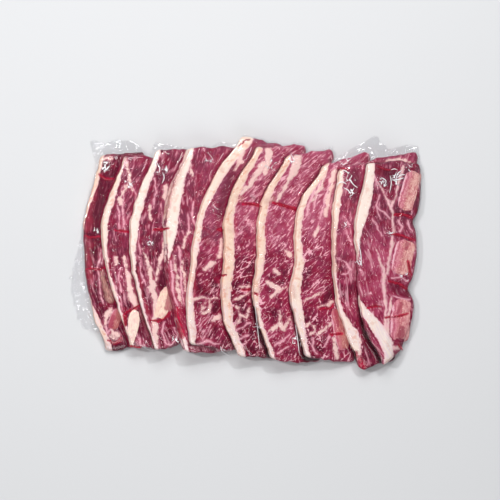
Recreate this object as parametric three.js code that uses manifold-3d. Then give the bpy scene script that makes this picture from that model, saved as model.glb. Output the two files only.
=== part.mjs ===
// Vacuum pack of ten raw beef short rib slices, laid like fallen dominoes so that each
// slice leans on the one to its left with its fat edge up. Sizes are in millimetres,
// +X is right and +Y is up as the pack is seen from above, and +Z leaves its resting face.
import * as THREE from "three";
import { mergeVertices } from "three/addons/utils/BufferGeometryUtils.js";
import Module from "manifold-3d";

const wasm = await Module();
wasm.setup();

// The pack as a whole
const packCentre = [1.94, 0.4]; // middle of the pack's outline, in the tables' own X and Y
const filmSheet = 0.8; // the pouch's back sheet
const filmEdge = 1.1; // where front and back film are pressed together
const pieceGap = 0.3; // between neighbouring solids
const sliceBase = filmSheet + pieceGap;

// How every slice is cut and lies
const sliceThickness = 9;
const boneEdgeHeight = 8.5; // the low edge of a slice, where the ribs are
const crown = 1.6; // swell of the meat between its two edges
const edgeRound = 3.4; // soft corner that the tight film gives the cut face
const endDroop = 4.5; // the two ends sag to the tray
const endDroopLength = 15;
const cornerRound = { top: 7, bottom: 9 }; // plan view corners of a slice
const cornerPower = 4.5; // higher is a squarer end

// Each slice from left to right. edge is X of the fat edge at even steps from its top end
// to its bottom end, width goes across to the bone edge at even steps too, and rise is how
// much further up the bone edge's two ends lie than those of the fat edge.
const slices = [
  { top: 88, bottom: -90, edge: [-132, -138.5, -145, -144.5, -142, -137, -127], width: [40, 45, 38], rise: [4, 9] },
  { top: 87, bottom: -87, edge: [-109, -119.5, -128, -127, -120.5, -112.5, -103], width: [44, 47, 44], rise: [-2, 3] },
  { top: 92, bottom: -90, edge: [-81, -92.5, -101.5, -102.5, -98, -91, -81], width: [46, 50, 44], rise: [0, 15] },
  { top: 95, bottom: -89.5, edge: [-51, -65, -71, -70, -68.5, -62, -55], width: [48, 51, 46], rise: [0, 0] },
  { top: 106.5, bottom: -83, edge: [-4.5, -25, -38.5, -45.5, -48.5, -52, -49.5], width: [42, 50, 50], rise: [-11, -7] },
  { top: 94, bottom: -95, edge: [9, -9, -18, -18, -20.5, -18.5, -7], width: [46, 50, 46], rise: [4, 1] },
  { top: 86, bottom: -97.5, edge: [36, 18, 11.5, 11.5, 8, 12.5, 22.5], width: [44, 50, 46], rise: [8, -2] },
  { top: 78, bottom: -95, edge: [69, 50.5, 45, 46, 40.5, 46, 54], width: [44, 50, 46], rise: [14, -4] },
  { top: 75, bottom: -106, edge: [84, 79.5, 78.5, 79, 82.5, 91, 102.5], width: [72, 54, 34], rise: [14, 8] },
  {
    top: 80,
    bottom: -102,
    edge: [109, 103, 98.5, 101.5, 102.5, 108, 124],
    width: [49.5, 55, 56, 53.5, 48.5, 44, 19],
    rise: [3, 14],
  },
];

// Hollows in the last slice's bone edge where the film is drawn in between two ribs
const boneEdgeNotches = [
  { y: 28, depth: 3.4, reach: 6 },
  { y: -33, depth: 4.2, reach: 7 },
];

// Ribs that show at the cut face: their slice, the middle of the oval, half its length and
// width, and how far its upper end is turned to the right, in degrees.
const ribs = [
  { name: "bone_01", slice: 0, at: [-119, -61], half: [10, 5], turn: 20 },
  { name: "bone_02", slice: 1, at: [-98.5, -67], half: [18, 5.5], turn: 9 },
  { name: "bone_03", slice: 2, at: [-70.5, -43.5], half: [17, 7], turn: 8 },
  { name: "bone_08", slice: 7, at: [85.5, -69], half: [21, 6.5], turn: -12 },
  { name: "bone_10_upper", slice: 9, at: [146.5, 55.5], half: [19.5, 7.2], turn: 9 },
  { name: "bone_10_middle", slice: 9, at: [142.3, -1.5], half: [15, 9], turn: 13 },
  { name: "bone_10_lower", slice: 9, at: [139.2, -60], half: [19.5, 8.2], turn: 4 },
];
const boneProud = { middle: 0.7, edge: 0.2 }; // bone stands this far out of the soft meat
const boneSides = 18;
const boneSquareness = 2.6; // 2 is an ellipse, more is squarer
const boneInnerRing = 0.82; // where the oval's top turns down, as a share of its size

// Free parts of the pouch: each runs between two points on the meat's border, to the left
// of the way from one to the other, and reaches out by these distances at even steps.
const flaps = [
  { from: [-137, -76], to: [-145, 27], reach: [0, 12, 17.5, 16.5, 15, 9, 4, 0], rise: 4, pleats: 2 },
  { from: [-137, 80], to: [-112, 92], reach: [0, 16, 12, 5], rise: 6, pleats: 1.5 },
  { from: [-124, 88], to: [-86, 86], reach: [8, 16, 14, 11, 4], rise: 7, pleats: 2.5 },
  { from: [-86, 88], to: [-54, 93], reach: [7, 8, 7, 3, 1], rise: 7, pleats: 2 },
  { from: [-40, 94], to: [-4, 105], reach: [1, 2.5, 4, 4, 0.5], rise: 8, pleats: 1 },
  { from: [68, 91], to: [158, 84], reach: [0, 5, 10, 15, 19, 11, 13, 11, 3], rise: 9, pleats: 4 },
];
const backMargin = 2.6; // the back sheet reaches past the meat all round
const flapPleat = 1.6; // half the height of the pleats
const flapRoot = 5; // how far a flap starts inside the meat's border
const flapClearance = 0.9; // between a flap's root and the meat
const flapCuts = [0, 0.35, 0.7, 1]; // from the free edge to the root
const cutsPerReach = 2;

// Where the surface of a slice is sampled, from fat edge to bone edge and from end to end
const acrossCuts = [0, 0.022, 0.07, 0.2, 0.4, 0.62, 0.84, 0.96, 1];
const endCuts = [0, 0.006, 0.022];
const alongCount = 19;
const alongCuts = [
  ...endCuts,
  ...evenSteps(alongCount).slice(1, -1),
  ...endCuts.map((v) => 1 - v).reverse(),
];

// How the pouch's outline is found round the meat
const outlineRays = 120;
const spineHalf = 95;
const rayEnd = [245, 175]; // half axes of an oval that clears the pack's corners
const rayStep = 0.014;
const rayHalvings = 5;
const walkSteps = 16;
const farBelow = -1;
const farAbove = 60;
const reachUnder = 3; // a slice rests on this many before it at most

const meat = new THREE.MeshStandardMaterial({ color: 0x8f2f4b, roughness: 0.35, metalness: 0 });
const bone = new THREE.MeshStandardMaterial({ color: 0xd9b49a, roughness: 0.45, metalness: 0 });
const film = new THREE.MeshStandardMaterial({
  color: 0xcdd3d6,
  roughness: 0.12,
  metalness: 0,
  transparent: true,
  opacity: 0.35,
});

function evenSteps(count) {
  return Array.from({ length: count + 1 }, (_, i) => i / count);
}

// A smooth curve through values at even steps, read at t from 0 to 1
function smooth(values, t) {
  const last = values.length - 1;
  const place = THREE.MathUtils.clamp(t, 0, 1) * last;
  const i = Math.min(Math.floor(place), last - 1);
  const f = place - i;
  const at = (n) => values[THREE.MathUtils.clamp(n, 0, last)];
  const [a, b, c, d] = [at(i - 1), at(i), at(i + 1), at(i + 2)];
  const bend = 2 * a - 5 * b + 4 * c - d;
  const twist = 3 * (b - c) + d - a;
  return 0.5 * (2 * b + (c - a) * f + bend * f * f + twist * f * f * f);
}

// Plan view of slice k: u runs from its fat edge to its bone edge and v from top to bottom
function planPoint(k, u, v) {
  const { top, bottom, edge, width, rise } = slices[k];
  const inset = 1 - Math.pow(1 - Math.pow(Math.abs(2 * u - 1), cornerPower), 1 / cornerPower);
  const upper = top + rise[0] * u - cornerRound.top * inset;
  const lower = bottom + rise[1] * u + cornerRound.bottom * inset;
  const y = upper + (lower - upper) * v;
  let x = smooth(edge, v) + u * smooth(width, v);
  if (k === slices.length - 1) {
    for (const notch of boneEdgeNotches) {
      x -= notch.depth * u * u * Math.exp(-(((y - notch.y) / notch.reach) ** 2));
    }
  }
  return [x, y];
}

// Height of slice k's fat edge over the plane: it stands on the slice before it
const leanCache = slices.map(() => new Map());
function leanHeight(k, v) {
  if (k === 0) return sliceBase + sliceThickness;
  if (!leanCache[k].has(v)) {
    const before = slices[k - 1];
    const y = THREE.MathUtils.lerp(slices[k].top, slices[k].bottom, v);
    const vBefore = THREE.MathUtils.clamp((before.top - y) / (before.top - before.bottom), 0, 1);
    const offset = smooth(slices[k].edge, v) - smooth(before.edge, vBefore);
    const u = offset / smooth(before.width, vBefore);
    leanCache[k].set(v, faceHeight(k - 1, u, vBefore) + sliceThickness);
  }
  return leanCache[k].get(v);
}

// Height of slice k's cut face without its rounded edges and sagging ends
function faceHeight(k, u, v) {
  const high = leanHeight(k, v);
  const low = sliceBase + boneEdgeHeight;
  return high + (low - high) * u + crown * Math.sin(Math.PI * THREE.MathUtils.clamp(u, 0, 1));
}

// How much a rounded edge has dropped at a distance in from the border
function edgeDrop(distance) {
  const inside = THREE.MathUtils.clamp(1 - distance / edgeRound, 0, 1);
  return edgeRound * (1 - Math.sqrt(1 - inside * inside));
}

function topHeight(k, u, v) {
  const { top, bottom, width } = slices[k];
  const span = smooth(width, v);
  const length = top - bottom;
  const toEnd = Math.min(v, 1 - v) * length;
  const border = Math.min(u * span, (1 - u) * span, toEnd);
  return faceHeight(k, u, v) - endDroop * Math.exp(-toEnd / endDroopLength) - edgeDrop(border);
}

// A closed slab over a grid: place(u, v) gives [x, y, top], and its underside lies at floor
function slabGeometry(place, floor, uCuts, vCuts) {
  const [nu, nv] = [uCuts.length, vCuts.length];
  const positions = [];
  for (const level of [0, 1]) {
    for (const v of vCuts) {
      for (const u of uCuts) {
        const [x, y, z] = place(u, v);
        positions.push(x, y, level === 0 ? z : floor);
      }
    }
  }
  const at = (i, j, level) => level * nu * nv + j * nu + i;
  const faces = [];
  const quad = (a, b, c, d) => faces.push(a, b, c, a, c, d);
  for (let j = 0; j < nv - 1; j++) {
    for (let i = 0; i < nu - 1; i++) {
      quad(at(i, j, 0), at(i, j + 1, 0), at(i + 1, j + 1, 0), at(i + 1, j, 0));
      quad(at(i, j, 1), at(i + 1, j, 1), at(i + 1, j + 1, 1), at(i, j + 1, 1));
    }
  }
  for (let i = 0; i < nu - 1; i++) {
    quad(at(i, 0, 0), at(i + 1, 0, 0), at(i + 1, 0, 1), at(i, 0, 1));
    quad(at(i + 1, nv - 1, 0), at(i, nv - 1, 0), at(i, nv - 1, 1), at(i + 1, nv - 1, 1));
  }
  for (let j = 0; j < nv - 1; j++) {
    quad(at(0, j + 1, 0), at(0, j, 0), at(0, j, 1), at(0, j + 1, 1));
    quad(at(nu - 1, j, 0), at(nu - 1, j + 1, 0), at(nu - 1, j + 1, 1), at(nu - 1, j, 1));
  }
  const geometry = new THREE.BufferGeometry();
  geometry.setAttribute("position", new THREE.Float32BufferAttribute(positions, 3));
  geometry.setIndex(faces);
  return geometry;
}

function solidOf(geometry) {
  const bare = geometry.clone();
  bare.deleteAttribute("normal");
  bare.deleteAttribute("uv");
  const merged = mergeVertices(bare, 1e-4);
  return new wasm.Manifold(
    new wasm.Mesh({
      numProp: 3,
      vertProperties: merged.attributes.position.array,
      triVerts: new Uint32Array(merged.index.array),
    }),
  );
}

function meshOf(name, solid, material) {
  const mesh = solid.getMesh();
  const geometry = new THREE.BufferGeometry();
  const corners = new Float32Array(mesh.numVert * 3);
  for (let i = 0; i < mesh.numVert; i++) {
    corners.set(mesh.vertProperties.subarray(i * mesh.numProp, i * mesh.numProp + 3), i * 3);
  }
  geometry.setAttribute("position", new THREE.BufferAttribute(corners, 3));
  geometry.setIndex(new THREE.BufferAttribute(mesh.triVerts, 1));
  geometry.computeVertexNormals();
  const made = new THREE.Mesh(geometry, material);
  made.name = name;
  return made;
}

// One slice standing on its base plane, or, with grow, the room that a neighbour leaves it
function sliceBlock(k, grow = 0, base = sliceBase) {
  const place = (u, v) => {
    const [x, y] = planPoint(k, u, v);
    const outX = (2 * u - 1) * grow;
    const outY = (1 - 2 * v) * grow;
    return [x + outX, y + outY, topHeight(k, u, v) + grow];
  };
  return solidOf(slabGeometry(place, base, acrossCuts, alongCuts));
}

// Where on slice k a point in plan lies, found by walking u and v towards it
function locate(k, x, y) {
  const length = slices[k].top - slices[k].bottom;
  let [u, v, miss] = [0.5, 0.5, 0];
  for (let step = 0; step < walkSteps; step++) {
    const [px, py] = planPoint(k, u, v);
    miss = Math.hypot(x - px, y - py);
    u = THREE.MathUtils.clamp(u + (x - px) / smooth(slices[k].width, v), 0, 1);
    v = THREE.MathUtils.clamp(v - (y - py) / length, 0, 1);
  }
  return { u, v, miss };
}

function faceAt(k, x, y) {
  const { u, v } = locate(k, x, y);
  const toEnd = Math.min(v, 1 - v) * (slices[k].top - slices[k].bottom);
  return faceHeight(k, u, v) - endDroop * Math.exp(-toEnd / endDroopLength);
}

// An upright plug with an oval outline whose top lies on its slice's face
function ribBlock(rib, grow = 0, base = sliceBase) {
  const turn = THREE.MathUtils.degToRad(rib.turn);
  const [halfLength, halfWidth] = rib.half;
  const place = (u, v) => {
    const angle = u * 2 * Math.PI;
    const shape = (value) => Math.sign(value) * Math.pow(Math.abs(value), 2 / boneSquareness);
    const along = shape(Math.sin(angle)) * (halfLength + grow) * v;
    const across = shape(Math.cos(angle)) * (halfWidth + grow) * v;
    const x = rib.at[0] + across * Math.cos(turn) + along * Math.sin(turn);
    const y = rib.at[1] - across * Math.sin(turn) + along * Math.cos(turn);
    const proud = THREE.MathUtils.lerp(boneProud.middle, boneProud.edge, v);
    return [x, y, faceAt(rib.slice, x, y) + grow + proud];
  };
  const round = evenSteps(boneSides).slice(0, -1);
  const outline = round.map((u) => place(u, 1));
  const inner = round.map((u) => place(u, boneInnerRing));
  const middle = place(0, 0);
  const positions = [...middle, ...inner.flat(), ...outline.flat()];
  const positionsLow = [middle[0], middle[1], base, ...outline.flatMap(([x, y]) => [x, y, base])];
  const low = positions.length / 3;
  const faces = [];
  for (let i = 0; i < boneSides; i++) {
    const next = (i + 1) % boneSides;
    const [a, b] = [1 + i, 1 + next];
    const [c, d] = [1 + boneSides + i, 1 + boneSides + next];
    const [e, f] = [low + 1 + i, low + 1 + next];
    faces.push(0, a, b, a, c, d, a, d, b, c, e, f, c, f, d, low, f, e);
  }
  const geometry = new THREE.BufferGeometry();
  geometry.setAttribute("position", new THREE.Float32BufferAttribute([...positions, ...positionsLow], 3));
  geometry.setIndex(faces);
  return solidOf(geometry);
}

// A pleated skirt that falls from the meat's side to the plane and ends in a free edge
function flapBlock(flap) {
  const start = new THREE.Vector2(...flap.from);
  const run = new THREE.Vector2(...flap.to).sub(start);
  const out = new THREE.Vector2(-run.y, run.x).normalize();
  const place = (u, v) => {
    const reach = smooth(flap.reach, u);
    const far = reach - (reach + flapRoot) * v;
    const x = start.x + run.x * u + out.x * far;
    const y = start.y + run.y * u + out.y * far;
    const wave = 1 + Math.sin(2 * Math.PI * flap.pleats * u + 1);
    return [x, y, filmEdge + flap.rise * v * v + flapPleat * Math.sin(Math.PI * v) * wave];
  };
  return solidOf(slabGeometry(place, 0, evenSteps(flap.reach.length * cutsPerReach), flapCuts));
}

function joined(solids) {
  return solids.reduce((whole, piece) => whole.add(piece));
}

function without(solid, others) {
  return others.reduce((rest, other) => rest.subtract(other), solid);
}

// An upright plate on a slice's outline, reaching past it all round by a margin
function footprint(k, margin, low, high) {
  const place = (u, v) => {
    const [x, y] = planPoint(k, u, v);
    return [x + (2 * u - 1) * margin, y + (1 - 2 * v) * margin, high];
  };
  return solidOf(slabGeometry(place, low, acrossCuts, alongCuts));
}

// How far the meat reaches on rays that leave a line along its middle, all the way round
function meatOutline(margin) {
  const covered = (x, y) => slices.some((_, k) => locate(k, x, y).miss < margin);
  return Array.from({ length: outlineRays }, (_, i) => {
    const angle = (i / outlineRays) * 2 * Math.PI;
    const start = new THREE.Vector2(spineHalf * Math.cos(angle), 0);
    const end = new THREE.Vector2(rayEnd[0] * Math.cos(angle), rayEnd[1] * Math.sin(angle));
    const hits = (t) => {
      const { x, y } = start.clone().lerp(end, t);
      return covered(x, y);
    };
    let inside = 1;
    while (!hits(inside)) inside -= rayStep;
    let outside = inside + rayStep;
    for (let step = 0; step < rayHalvings; step++) {
      const middle = (inside + outside) / 2;
      if (hits(middle)) inside = middle;
      else outside = middle;
    }
    return start.lerp(end, inside);
  });
}

// The pouch: a back sheet with a margin all round the meat, joined to the free skirts
function pouchSolid() {
  const sheetShape = new THREE.Shape(meatOutline(backMargin));
  const sheet = solidOf(new THREE.ExtrudeGeometry(sheetShape, { depth: filmSheet, bevelEnabled: false }));
  const meatRoom = joined(slices.map((_, k) => footprint(k, flapClearance, farBelow, farAbove)));
  return joined(flaps.map(flapBlock)).subtract(meatRoom).add(sheet);
}

const grownSlices = slices.map((_, k) => sliceBlock(k, pieceGap, sliceBase - pieceGap));
const ribRooms = ribs.map((rib) => ribBlock(rib, pieceGap, 0));

const sliceSolids = slices.map((_, k) => {
  const under = grownSlices.slice(Math.max(0, k - reachUnder), k);
  const bones = ribRooms.filter((_, i) => ribs[i].slice <= k);
  return without(sliceBlock(k), [...under, ...bones]);
});

const ribSolids = ribs.map((rib) => {
  const under = grownSlices.slice(Math.max(0, rib.slice - reachUnder), rib.slice);
  return without(ribBlock(rib), under);
});

const pack = new THREE.Group();
pack.name = "raw_beef_short_ribs";
pack.add(meshOf("vacuum_pouch", pouchSolid(), film));
sliceSolids.forEach((solid, k) => {
  pack.add(meshOf(`slice_${String(k + 1).padStart(2, "0")}`, solid, meat));
});
ribs.forEach((rib, i) => pack.add(meshOf(rib.name, ribSolids[i], bone)));
pack.position.set(-packCentre[0], -packCentre[1], 0);

export default pack;
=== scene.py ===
import math
from types import SimpleNamespace

import bpy
import numpy as np
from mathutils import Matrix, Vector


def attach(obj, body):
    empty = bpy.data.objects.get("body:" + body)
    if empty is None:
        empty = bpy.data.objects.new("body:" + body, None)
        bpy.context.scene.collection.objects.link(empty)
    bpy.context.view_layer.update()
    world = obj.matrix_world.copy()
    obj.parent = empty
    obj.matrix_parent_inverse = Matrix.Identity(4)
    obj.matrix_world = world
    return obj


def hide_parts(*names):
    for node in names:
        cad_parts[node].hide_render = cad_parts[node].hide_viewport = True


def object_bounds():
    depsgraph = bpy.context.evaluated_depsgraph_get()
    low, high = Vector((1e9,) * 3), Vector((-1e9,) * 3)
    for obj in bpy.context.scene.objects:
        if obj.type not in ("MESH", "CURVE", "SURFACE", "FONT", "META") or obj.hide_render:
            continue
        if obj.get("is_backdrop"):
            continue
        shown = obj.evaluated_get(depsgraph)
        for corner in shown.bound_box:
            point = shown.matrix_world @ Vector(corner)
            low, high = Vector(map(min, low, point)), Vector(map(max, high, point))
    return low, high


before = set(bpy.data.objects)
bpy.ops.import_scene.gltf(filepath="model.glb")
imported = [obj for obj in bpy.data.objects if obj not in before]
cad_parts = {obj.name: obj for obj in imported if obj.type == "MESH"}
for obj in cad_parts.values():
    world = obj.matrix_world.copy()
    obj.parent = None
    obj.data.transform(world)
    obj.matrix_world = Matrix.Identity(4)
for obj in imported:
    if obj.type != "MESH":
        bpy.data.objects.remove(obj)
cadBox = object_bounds()
mm = 0.001

# What is common to all slices, as in the solids
pack = {
    "centre": (1.94, 0.4),  # middle of the pack's outline in the tables' own X and Y
    "floorGap": 0.5,  # the meat's underside over the floor
    "firstEdge": 10.1,  # height of the first slice's fat edge
    "thickness": 9.0,
    "thinnest": 0.8,
    "lowEdge": 9.6,  # height of every slice's bone edge
    "crown": 1.6,  # swell of a face between its two edges
    "edgeRound": 2.3,
    "droop": 4.5,  # sag of a slice's two ends
    "droopLength": 15.0,
    "cornerTop": 7.0,  # how far the corners draw in
    "cornerBottom": 9.0,
    "squareness": 4.5,
    "edgeFade": 4,  # powers by which an edge's waves, an end's waves and the lean die away
    "endFade": 40,
    "leanFade": 6,
    "columns": 84,  # of a face's grid
    "rows": 300,
    "wallRows": 6,
    "wallBulge": 0.7,
    "fatTrim": 0.1,  # the strip's round edge already shows this much of it
    "fatProud": 0.3,  # firm fat stands out of the soft lean
    "seamProud": 0.25,
    "creaseDepth": 0.5,
    "layGap": 0.25,  # between a slice and the one that it lies on
    "layReach": 3,  # how many slices before it a slice may lie on
    "nearEnough": 0.3,  # a place this close to a slice counts as on it
    "searchSteps": 14,
    "grainStep": 37.0,  # keeps each slice's grain away from the next one's
}

# Layers of hills, each (height, pitch, seed)
rough = {
    "face": [(0.42, 13.0, 40), (0.16, 4.6, 60)],
    "edge": [(0.7, 9.0, 20), (0.35, 3.6, 30)],
    "end": [(1.2, 10.0, 50), (0.7, 4.0, 150)],
    "wall": [(0.3, 5.0, 80)],
    "markX": [(1.0, 7.0, 200), (0.5, 2.6, 220)],
    "markY": [(1.0, 7.0, 240), (0.5, 2.6, 260)],
    "ribRim": [(0.05, 4.0, 300)],
    "ribFace": [(0.12, 2.2, 320)],
}

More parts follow.
